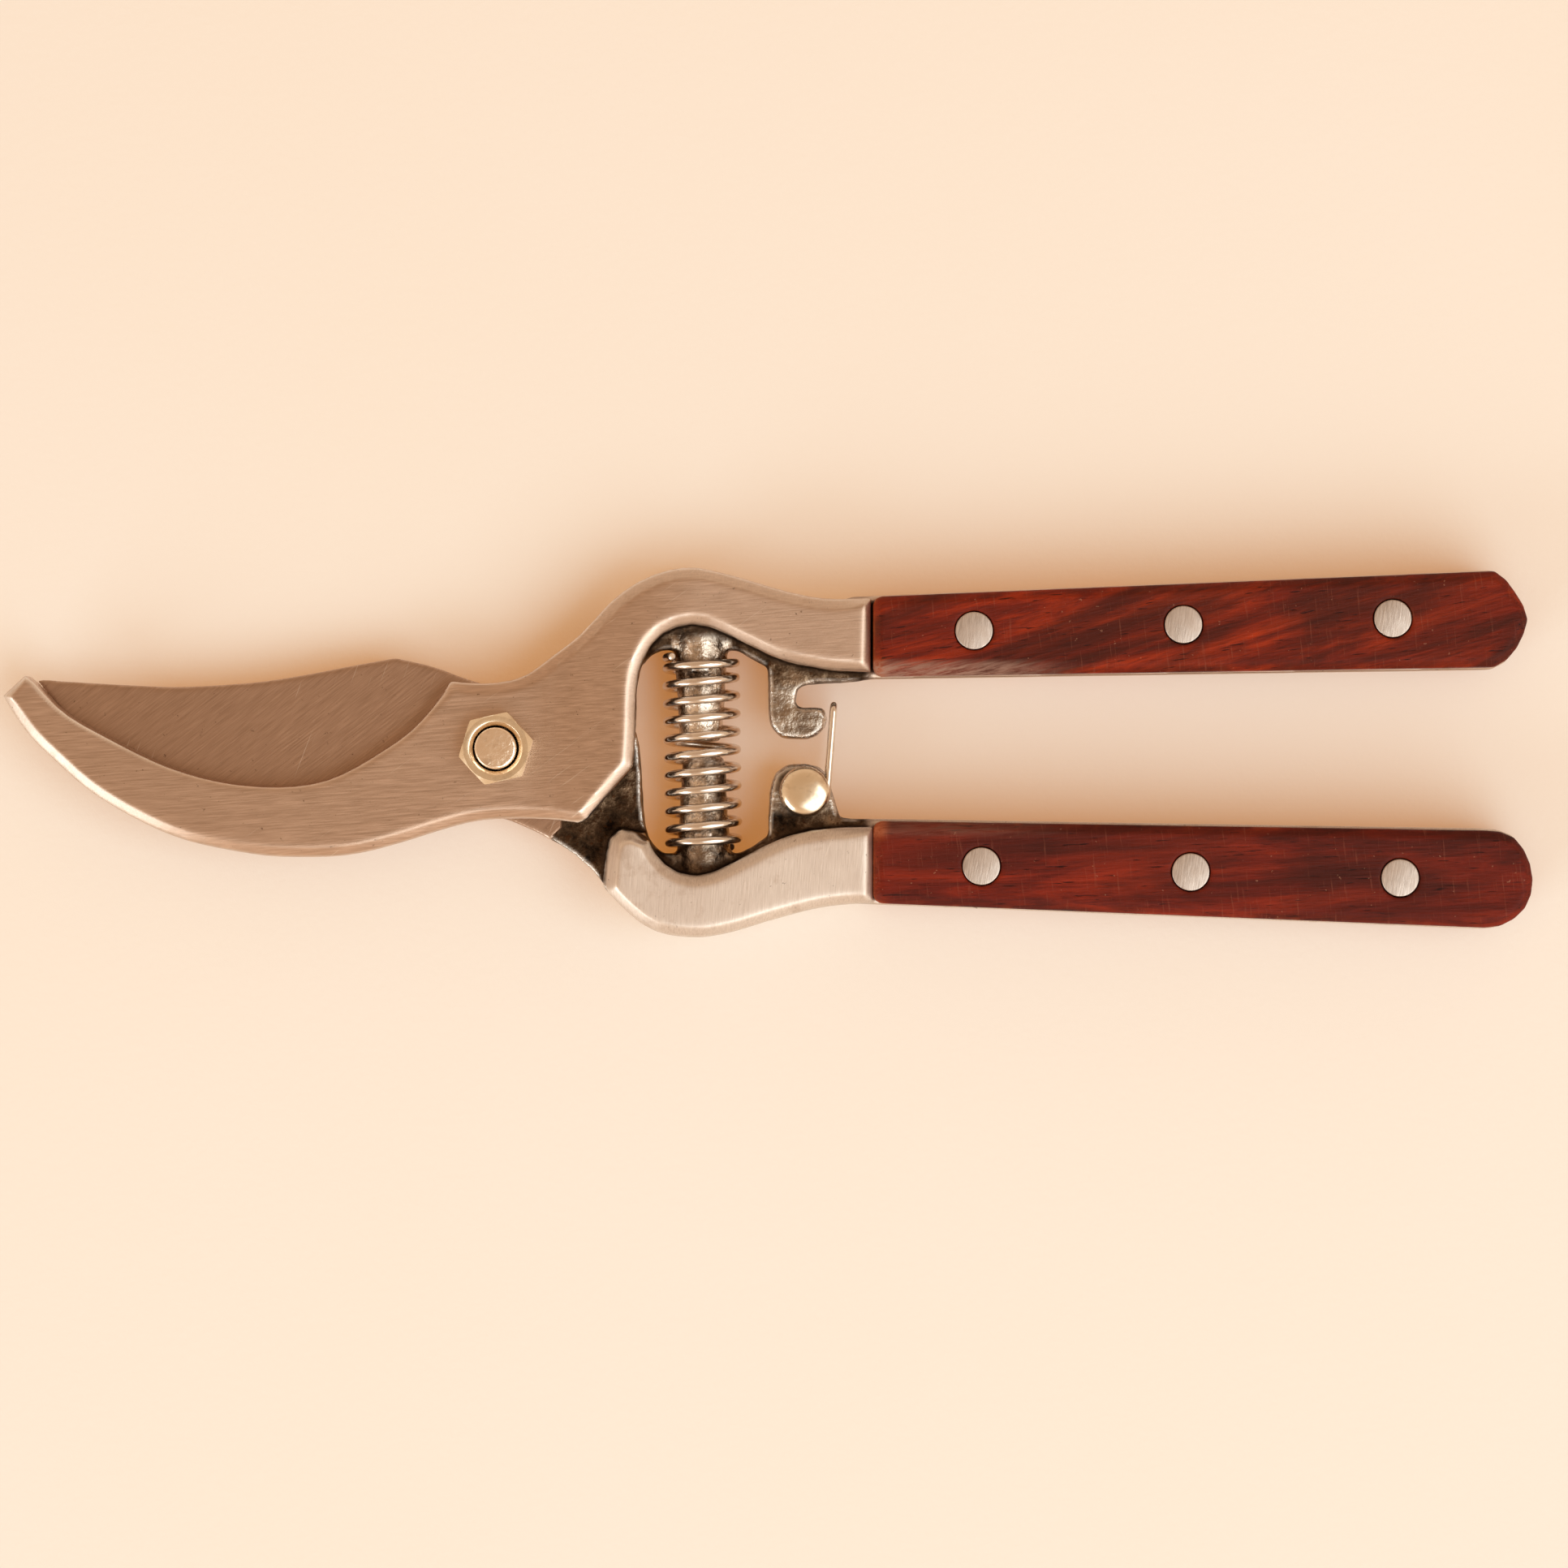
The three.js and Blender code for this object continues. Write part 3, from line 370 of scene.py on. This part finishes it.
UPPER_WOOD = wood("upper_wood", (0.045, 0.009, 0.005), (0.155, 0.014, 0.005), (0.37, 0.034, 0.006), 15, 0.8)
LOWER_WOOD = wood("lower_wood", (0.042, 0.008, 0.005), (0.125, 0.012, 0.006), (0.26, 0.024, 0.008), 3, 0.7)


# ---- mesh helpers ----

def new_object(name, mesh, material):
    thing = bpy.data.objects.new(name, mesh)
    scene.collection.objects.link(thing)
    mesh.materials.clear()
    mesh.materials.append(material)
    return thing


def mesh_from(name, verts, faces, material, smooth=True):
    mesh = bpy.data.meshes.new(name)
    mesh.from_pydata(verts, [], faces)
    mesh.validate()
    mesh.polygons.foreach_set("use_smooth", [smooth] * len(mesh.polygons))
    return new_object(name, mesh, material)


def apply_modifiers(thing):
    graph = bpy.context.evaluated_depsgraph_get()
    mesh = bpy.data.meshes.new_from_object(thing.evaluated_get(graph))
    thing.modifiers.clear()
    old = thing.data
    thing.data = mesh
    bpy.data.meshes.remove(old)


def remeshed(name, source, voxel, smoothing, material):
    """A close-knit copy of a CAD node with its hard corners softened."""
    thing = new_object(name, nodes[source].data.copy(), material)
    remesh = thing.modifiers.new("remesh", "REMESH")
    remesh.mode = "VOXEL"
    remesh.voxel_size = voxel
    remesh.adaptivity = 0
    smooth = thing.modifiers.new("smooth", "SMOOTH")
    smooth.factor = 0.5
    smooth.iterations = smoothing
    apply_modifiers(thing)
    mesh = thing.data
    mesh.materials.clear()
    mesh.materials.append(material)
    mesh.polygons.foreach_set("use_smooth", [True] * len(mesh.polygons))
    return thing


def soften(thing, iterations, share):
    """Smooths a mesh more where share() of a vertex's place is higher."""
    group = thing.vertex_groups.new(name="soften")
    for vertex in thing.data.vertices:
        weight = share(vertex.co)
        if weight > 0:
            group.add([vertex.index], weight, "REPLACE")
    smooth = thing.modifiers.new("soften", "SMOOTH")
    smooth.factor = 0.5
    smooth.iterations = iterations
    smooth.vertex_group = group.name
    apply_modifiers(thing)


def paint(thing, **layers):
    """Stores one number per vertex for each named layer, from a function of the place and the normal."""
    mesh = thing.data
    normals = mesh.vertex_normals
    for name, look in layers.items():
        layer = mesh.attributes.new(name, "FLOAT", "POINT")
        values = [look(v.co, normals[i].vector) for i, v in enumerate(mesh.vertices)]
        layer.data.foreach_set("value", values)


def curvature(mesh):
    """How sharply the surface bends at each vertex, in 1/m: positive on a ridge, negative in a hollow."""
    count = len(mesh.vertices)
    places = np.empty(count * 3)
    mesh.vertices.foreach_get("co", places)
    places = places.reshape(-1, 3)
    normals = np.empty(count * 3)
    mesh.vertex_normals.foreach_get("vector", normals)
    normals = normals.reshape(-1, 3)
    ends = np.empty(len(mesh.edges) * 2, np.int64)
    mesh.edges.foreach_get("vertices", ends)
    a, b = ends.reshape(-1, 2).T
    apart = places[b] - places[a]
    bend = ((normals[b] - normals[a]) * apart).sum(1) / np.maximum((apart ** 2).sum(1), 1e-12)
    total = np.bincount(a, bend, count) + np.bincount(b, bend, count)
    degree = np.maximum(np.bincount(a, minlength=count) + np.bincount(b, minlength=count), 1)
    bent = total / degree
    for _ in range(2):
        spread = (np.bincount(a, bent[b], count) + np.bincount(b, bent[a], count)) / degree
        bent = (bent + spread) / 2
    return bent


def wear(thing, ridge_low, ridge_high, hollow_low, hollow_high, along, most=0.8):
    """Stores where ridges are painted bright (edge), partly rubbed wear and partly a painted highlight, and
    where hollows are painted dark as painted shade (grime). along(x) fades the bright paint on the ridges."""
    bent = curvature(thing.data)
    fade = np.array([along(v.co.x) for v in thing.data.vertices])
    for name, value in (("edge", (bent - ridge_low) / (ridge_high - ridge_low)),
                        ("hollow_shade", (-bent - hollow_low) / (hollow_high - hollow_low))):
        layer = thing.data.attributes.new(name, "FLOAT", "POINT")
        layer.data.foreach_set("value", np.clip(value, 0, 1) * most * (fade if name == "edge" else 1))


def clamp(value, low=0.0, high=1.0):
    return max(low, min(high, value))


def ease(value, low, high):
    t = clamp((value - low) / (high - low))
    return t * t * (3 - 2 * t)


# ---- the two arms ----

VOXEL = 0.27 * MM
SMOOTHING = 8


def face_height(x):
    """How far an arm's outer face stands from the middle plane, as in the CAD.
    It is low at the jaws and full at the handle."""
    plate = 4.7 * MM
    ramp_start = 7 * MM
    ramp_end = 24 * MM
    return plate + (HALF - plate) * clamp((x - ramp_start) / (ramp_end - ramp_start))


def blend_ramp(thing, outer):
    """Turns the creases at the ends of the outer face's ramp into broad curves."""
    reach = 3 * MM
    steps = 7
    for vertex in thing.data.vertices:
        up = (vertex.co.z - HALF) * outer
        if up <= 0:
            continue
        face = face_height(vertex.co.x)
        around = [face_height(vertex.co.x + reach * (2 * i / (steps - 1) - 1)) for i in range(steps)]
        vertex.co.z += outer * (sum(around) / steps - face) * clamp(up / face)


def arm(name, source, material, outer):
    """outer is +1 for the arm whose ground face looks up, -1 for the one that looks down."""
    thing = remeshed(name, source, VOXEL, SMOOTHING, material)
    face_depth = 1.35 * MM
    plate_end = (12 if outer > 0 else 8.2) * MM
    post_x = 28.2 * MM
    hammering = 420
    deepest_dent = 0.22

    def rough(place, normal):
        up = (place.z - HALF) * outer
        x = place.x
        if x < plate_end + 1.5 * MM * noise.noise(place * 400):
            return 0.0 if up > 0.5 * MM or outer < 0 else 0.25
        face = face_height(x) if up > 0 else HALF
        share = ease(face - abs(up), 1.25 * MM, 1.9 * MM)
        flat_face = abs(normal.z) > 0.75 and abs(up) > face - face_depth
        # the outside of the shoulder is ground too, the inside is left as forged
        outside = ease(place.y * outer, 0.0195, 0.0215)
        # and so are the tang's edges between the scales
        tang_edge = ease(x, SHOULDER_END - 1.5 * MM, SHOULDER_END + 0.5 * MM)
        return 0.0 if flat_face else clamp(share * (1 - 0.85 * outside) * (1 - 0.94 * tang_edge))

    def post(place, normal):
        aside = abs(place.x - post_x)
        spring_post = (1 - ease(aside, 3.9 * MM, 4.3 * MM)) * (1 - ease(abs(place.y), 14 * MM, 16.5 * MM))
        ear = ease(place.x, 36.5 * MM, 37.5 * MM) * (1 - ease(abs(place.y), 7 * MM, 9.5 * MM))
        return max(spring_post, 0.6 * ear)

    def bevel(place, normal):
        """Painted light: bevels facing sideways are painted paler, as if lit from the side, most at the
        shoulders and at the hook's tip, less along the jaws.
        """
        slope = abs(normal.z)
        at_tip = 2.2 * ease(-place.x, 38 * MM, 56 * MM) * (outer > 0)
        share = max(ease(place.x, 8 * MM, 20 * MM), at_tip)
        return 0.35 * share * ease(slope, 0.3, 0.5) * (1 - ease(slope, 0.93, 0.99))

    # the paler ground face of the shoulder, plus the painted light on the bevels
    def pale(place, normal):
        if outer < 0:
            return max(0.9 * ease(place.x, 12 * MM, 16 * MM), bevel(place, normal))
        return max(0.10 * ease(place.x, 14 * MM, 30 * MM), bevel(place, normal))

    def softness(place):
        """The forged part is rounder than the ground plate."""
        by_wood = ease(place.x, SHOULDER_END - MM, SHOULDER_END)
        return ease(place.x, 12 * MM, 16 * MM) * (1 - 0.6 * by_wood)

    # how strongly the jaw ridges get the bright paint of rubbed wear and painted highlight
    jaw_rub_and_glint = 0.4 if outer > 0 else 0.08

    def rub_and_glint(x):
        """The bright ridge paint, partly rubbed wear and partly a painted highlight, is fainter on the jaws
        and beside the wood than on the shoulders.
        """
        on_jaw = 1 - ease(x, 2 * MM, 12 * MM)
        by_wood = ease(x, SHOULDER_END - 3 * MM, SHOULDER_END - 1.5 * MM)
        return (1 - by_wood) * (1 - on_jaw * (1 - jaw_rub_and_glint))

    blend_ramp(thing, outer)
    soften(thing, 12, softness)
    paint(thing, rough=rough, pale=pale, post=post)
    wear(thing, 260, 700, 200, 650, rub_and_glint)
    mesh = thing.data
    rough_layer = mesh.attributes["rough"].data
    normals = [n.vector.copy() for n in mesh.vertex_normals]
    for i, vertex in enumerate(mesh.vertices):
        share = rough_layer[i].value
        if share > 0.05:
            spot = vertex.co * hammering
            dent = noise.noise(spot) * 0.5 + noise.noise(spot * 2.7) * 0.25
            vertex.co += normals[i] * ((dent * deepest_dent - 0.06) * MM * share)
    return thing


hook = arm("hook_arm_steel", "hook_arm", HOOK_STEEL, 1)
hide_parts("hook_arm")
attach(hook, "hook_side")

blade = arm("blade_arm_steel", "blade_arm", BLADE_STEEL, -1)
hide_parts("blade_arm")
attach(blade, "blade_side")


# ---- wooden scales ----

def scale(node, material, slot, body):
    thing = remeshed(node + "_wood", node, (0.3) * MM, 3, material)
    low, high = corner(node)
    seed = Vector((high.x * 91, high.y * 57, 3.1))
    side_up = node.startswith("upper")

    def worn(place, normal):
        front = 1 - ease(place.x - low.x, 0.5 * MM, 2.6 * MM)
        slope = 1 - ease(abs(normal.z), 0.3, 0.97)
        beside = min(abs(place.y - low.y), abs(place.y - high.y))
        in_corner = 1 - ease(beside, 1.0 * MM, 3.2 * MM)
        chip = 0.5 + 0.5 * noise.noise(place * 600 + seed)
        broken = front * (slope * 0.7 + in_corner * 0.9) * (0.4 + chip)
        return clamp(broken + 0.3 * slope * ease(chip, 0.55, 0.85))

    inner_y = low.y if side_up else high.y

    def rubbed(place, normal):
        """The edge that the hand wears, near the front of the handle."""
        near = 1 - ease(abs(place.y - inner_y), 1.4 * MM, 2.6 * MM)
        span = 1 - ease(place.x - low.x, 14 * MM, 30 * MM)
        return near * span * (1 if side_up else 0.25)

    paint(thing, worn=worn, rubbed=rubbed)
    for vertex in thing.data.vertices:
        spot = vertex.co * 90 + seed
        vertex.co.z += noise.noise(spot) * 0.05 * MM * (1 if vertex.co.z > HALF else -1)
    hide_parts(node)
    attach(thing, body)
    return thing


for side, material, body in (("upper", UPPER_WOOD, "hook_side"), ("lower", LOWER_WOOD, "blade_side")):
    for face in ("front", "back"):
        scale(f"{side}_scale_{face}", material, f"{side}_wood", body)


# ---- turned pieces ----

def turned(name, profile, centre, material, sides=64, wobble=0.0):
    """Turns [radius, height] pairs about Z. The profile runs from the axis at the bottom to the axis at
    the top."""
    verts, faces = [], []
    for r, z in profile:
        if r < 1e-7:
            verts.append((0, 0, z))
            continue
        for i in range(sides):
            angle = 2 * math.pi * i / sides
            push = 1 + wobble * noise.noise(Vector((math.cos(angle) * 2, math.sin(angle) * 2, z * 900)))
            verts.append((r * push * math.cos(angle), r * push * math.sin(angle), z))
    rows = []
    at = 0
    for r, _ in profile:
        count = 1 if r < 1e-7 else sides
        rows.append(list(range(at, at + count)))
        at += count
    for lower, upper in zip(rows, rows[1:]):
        for i in range(sides):
            j = (i + 1) % sides
            a, b = lower[i % len(lower)], lower[j % len(lower)]
            c, d = upper[j % len(upper)], upper[i % len(upper)]
            ring = [v for k, v in enumerate((a, b, c, d)) if v not in (a, b, c, d)[:k]]
            if len(ring) > 2:
                faces.append(ring)
    thing = mesh_from(name, [Vector(v) + Vector(centre) for v in verts], faces, material)
    return thing


def rounded(corners, radius, steps=4):
    """A profile with its inner corners rounded off."""
    out = [corners[0]]
    for before, here, after in zip(corners, corners[1:], corners[2:]):
        b, h, a = Vector(before), Vector(here), Vector(after)
        reach = min(radius, (b - h).length * 0.45, (a - h).length * 0.45)
        start = h + (b - h).normalized() * reach
        end = h + (a - h).normalized() * reach
        for i in range(steps + 1):
            t = i / steps
            out.append(tuple(start * (1 - t) ** 2 + h * 2 * t * (1 - t) + end * t ** 2))
    out.append(corners[-1])
    return out


def pivot_bolt():
    head_r = (BOLT_HIGH.x - BOLT_LOW.x) / 2
    head_top = HALF - 4.8 * MM
    shank = 2.87 * MM
    top = BOLT_HIGH.z
    groove = 0.16 * MM
    profile = [(0, 0), (head_r, 0), (head_r, head_top), (shank, head_top)]
    profile = rounded(profile + [(shank, top), (0, top)], 0.42 * MM)
    bolt = turned("pivot_bolt_nickel", profile, (0, 0, 0), BOLT_METAL, 96)
    for vertex in bolt.data.vertices:
        r = math.hypot(vertex.co.x, vertex.co.y)
        if vertex.co.z > top - 0.5 * MM and r < shank * 0.8:
            vertex.co.z -= groove * (0.5 + noise.noise(vertex.co * 1500))
    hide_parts("pivot_bolt")
    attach(bolt, "blade_side")


def pivot_nut():
    """A hexagon nut with its corners turned off, a countersunk mouth and a hole that clears the bolt."""
    low, high = NUT_LOW.z, NUT_HIGH.z
    flats = 9.13 / 2 * MM
    turn = math.radians(12.75)
    corner_r = flats / math.cos(math.pi / 6)
    corner_wear = 0.05 * MM
    hole = 3.13 * MM
    sides = 96
    verts, faces = [], []

    def hexagon(angle):
        part = (angle - turn) % (math.pi / 3) - math.pi / 6
        sharp = flats / math.cos(part)
        return sharp - corner_wear * ease(abs(part), 0.44, 0.5236)

    chamfer = 0.62 * MM
    rows = []

    def ring(points):
        start = len(verts)
        verts.extend(points)
        rows.append([start + i for i in range(sides)])

    angles = [2 * math.pi * i / sides + turn for i in range(sides)]
    face_r = flats - 0.12 * MM

    def chamfer_z(r):
        return high - max(0.0, (r - face_r) / (corner_r - face_r)) * chamfer

    ring([(hole * math.cos(a), hole * math.sin(a), low) for a in angles])
    ring([(hexagon(a) * math.cos(a), hexagon(a) * math.sin(a), low) for a in angles])
    ring([(hexagon(a) * math.cos(a), hexagon(a) * math.sin(a),
           chamfer_z(hexagon(a)) - 0.10 * MM) for a in angles])
    ring([((hexagon(a) - 0.03 * MM) * math.cos(a), (hexagon(a) - 0.03 * MM) * math.sin(a),
           chamfer_z(hexagon(a))) for a in angles])
    ring([(face_r * math.cos(a), face_r * math.sin(a), high) for a in angles])
    mouth = hole + 0.55 * MM
    for r, z in ((face_r - 0.25 * MM, high), (mouth + 0.1 * MM, high), (mouth, high - 0.03 * MM),
                 (hole + 0.1 * MM, high - 0.42 * MM), (hole, high - 0.6 * MM)):
        ring([(r * math.cos(a), r * math.sin(a), z) for a in angles])
    rows.append(rows[0])
    for lower, upper in zip(rows, rows[1:]):
        for i in range(sides):
            j = (i + 1) % sides
            faces.append((lower[i], lower[j], upper[j], upper[i]))
    nut = mesh_from("pivot_nut_nickel", verts, faces, NICKEL)
    nut.data.set_sharp_from_angle(angle=math.radians(32))
    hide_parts("pivot_nut")
    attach(nut, "blade_side")


def catch_rivet():
    low, high = corner("catch_rivet")
    centre = (low + high) / 2
    head = (high.x - low.x) / 2
    shank = 2.3 * MM
    under = (high.z - low.z) / 2 - 1.5 * MM
    top = (high.z - low.z) / 2
    rim = 0.25 * MM
    dome = [(head, under), (head, under + rim)]
    steps = 12
    for i in range(1, steps + 1):
        angle = (math.pi / 2) * i / steps
        rise = (top - under - rim) * math.sin(angle)
        dome.append((head * math.cos(angle) ** 0.8, under + rim + rise))
    dome[-1] = (0, top)
    upper = [(shank, under)] + dome
    lower = [(r, -z) for r, z in reversed(upper)]
    rivet = turned("catch_rivet_nickel", lower + upper, centre, NICKEL, 72)
    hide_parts("catch_rivet")
    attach(rivet, "blade_side")


def handle_rivets():
    """Each rivet is two halves: the front one ends in a pin and the back one in a wider sleeve."""
    head = 2.6 * MM
    thick = 1.2 * MM
    crown = 0.05 * MM
    pin = 1.1 * MM
    sleeve = 1.9 * MM
    for side, body in (("upper", "hook_side"), ("lower", "blade_side")):
        for i in (1, 2, 3):
            for face in ("front", "back"):
                node = f"{side}_rivet_{i}_{face}"
                low, high = corner(node)
                centre = (low + high) / 2
                shank = pin if face == "front" else sleeve
                head_is_up = low.z > 0.5 * MM
                length = high.z - low.z
                profile = [(0, 0), (shank, 0), (shank, length - thick), (head, length - thick),
                           (head, length - crown), (0, length)]
                profile = rounded(profile, 0.18 * MM, 3)
                thing = turned(node + "_steel", profile, (0, 0, 0), RIVET_STEEL, 48, 0.006)
                if not head_is_up:
                    thing.data.transform(Matrix.Rotation(math.pi, 4, "X"))
                    thing.data.transform(Matrix.Translation((0, 0, length)))
                thing.data.transform(Matrix.Translation((centre.x, centre.y, low.z)))
                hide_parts(node)
                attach(thing, body)


pivot_bolt()
pivot_nut()
catch_rivet()
handle_rivets()


# ---- wires ----

def wire(name, points, radius, material, sides=12):
    """A round wire along a line of points, with rounded cut ends."""
    points = [Vector(p) for p in points]
    verts, faces = [], []
    tangents = []
    for i in range(len(points)):
        a = points[max(0, i - 1)]
        b = points[min(len(points) - 1, i + 1)]
        tangents.append((b - a).normalized())
    normal = tangents[0].orthogonal().normalized()
    rows = []
    for i, (point, tangent) in enumerate(zip(points, tangents)):
        normal = (normal - tangent * normal.dot(tangent)).normalized()
        across = tangent.cross(normal)
        start = len(verts)
        for k in range(sides):
            angle = 2 * math.pi * k / sides
            verts.append(point + (normal * math.cos(angle) + across * math.sin(angle)) * radius)
        rows.append([start + k for k in range(sides)])
    for lower, upper in zip(rows, rows[1:]):
        for k in range(sides):
            j = (k + 1) % sides
            faces.append((lower[k], lower[j], upper[j], upper[k]))
    faces.append(tuple(reversed(rows[0])))
    faces.append(tuple(rows[-1]))
    thing = mesh_from(name, verts, faces, material)
    bevel = thing.modifiers.new("bevel", "BEVEL")
    bevel.limit_method = "ANGLE"
    bevel.angle_limit = math.radians(60)
    bevel.width = radius * 0.3
    bevel.segments = 3
    apply_modifiers(thing)
    thing.data.polygons.foreach_set("use_smooth", [True] * len(thing.data.polygons))
    return thing


def return_spring():
    wire_r = 0.6 * MM
    radius = 4.8 * MM
    turns = 11.5
    seat = 0.85 * MM
    top = Vector((28.05 * MM, 13.6 * MM - seat, HALF))
    bottom = Vector((28.45 * MM, -14.5 * MM + seat, HALF))
    wire_diameter = 1.2 * MM
    closed = wire_diameter * 1.12
    length = (bottom - top).length
    pitch = (length - 2 * closed) / (turns - 2)
    points_per_turn = 48
    count = round(points_per_turn * turns)
    points = []
    for i in range(count + 1):
        turn = turns * i / count
        closed_turns = min(turn, 1) + max(0, turn - (turns - 1))
        run = clamp(turn - 1, 0, turns - 2) * pitch + closed_turns * closed
        angle = 2 * math.pi * turn + math.pi * 0.8
        spot = top.lerp(bottom, run / length)
        points.append((spot.x + radius * math.cos(angle), spot.y, spot.z + radius * math.sin(angle)))
    spring = wire("return_spring_wire", points, wire_r, SPRING_STEEL, 14)
    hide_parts("return_spring")
    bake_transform(spring)


def catch_wire():
    """The catch's line in its own frame, then swung to where the CAD has it."""
    rivet = middle("catch_rivet")
    wire_r = 0.5 * MM
    reach = 12.6 * MM
    shank = 2.3 * MM
    half_lug = 2.2 * MM
    gap = 0.25 * MM
    rest_swing = -math.radians(18.5)
    eye = shank + gap + wire_r
    side = half_lug + gap + wire_r
    bend = 0.9 * MM
    lean = math.asin(eye / reach)
    tangent = Vector((math.cos(lean) * eye, math.sin(lean) * eye))
    cross = Vector((0, reach))
    along = (cross - tangent).normalized()
    front = []
    eye_steps = 40
    for i in range(eye_steps):
        angle = lean - math.radians(285) * (1 - i / eye_steps)
        front.append(Vector((math.cos(angle) * eye, math.sin(angle) * eye, side)))
    bend_start = cross - along * bend
    for i in range(11):
        spot = tangent.lerp(bend_start, i / 10)
        front.append(Vector((spot.x, spot.y, side)))
    for i in range(1, 9):
        angle = math.pi / 2 * i / 8
        spot = bend_start + along * (bend * math.sin(angle))
        front.append(Vector((spot.x, spot.y, side - bend * (1 - math.cos(angle)))))
    across = [Vector((front[-1].x, front[-1].y, z * MM)) for z in (1.4, 0.7, 0, -0.7, -1.4)]
    back = [Vector((p.x, p.y, -p.z)) for p in reversed(front)]
    swing = Matrix.Rotation(rest_swing, 4, "Z")
    points = [swing @ p + rivet for p in front + across + back]
    catch = wire("catch_wire", points, wire_r, CATCH_STEEL, 16)
    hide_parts("catch_loop")
    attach(catch, "catch")


return_spring()
catch_wire()


# ---- floor ----

def floor():
    size = 4.0
    steps = 24
    row = steps + 1
    verts = [(size * (i / steps - 0.5), size * (j / steps - 0.5), 0) for j in range(row) for i in range(row)]
    faces = [(j * row + i, j * row + i + 1, (j + 1) * row + i + 1, (j + 1) * row + i)
             for j in range(steps) for i in range(steps)]
    sheet = mesh_from("floor", verts, faces, glowing_paper())
    clear_of_part = 0.0002
    sheet.location.z = -clear_of_part


floor()
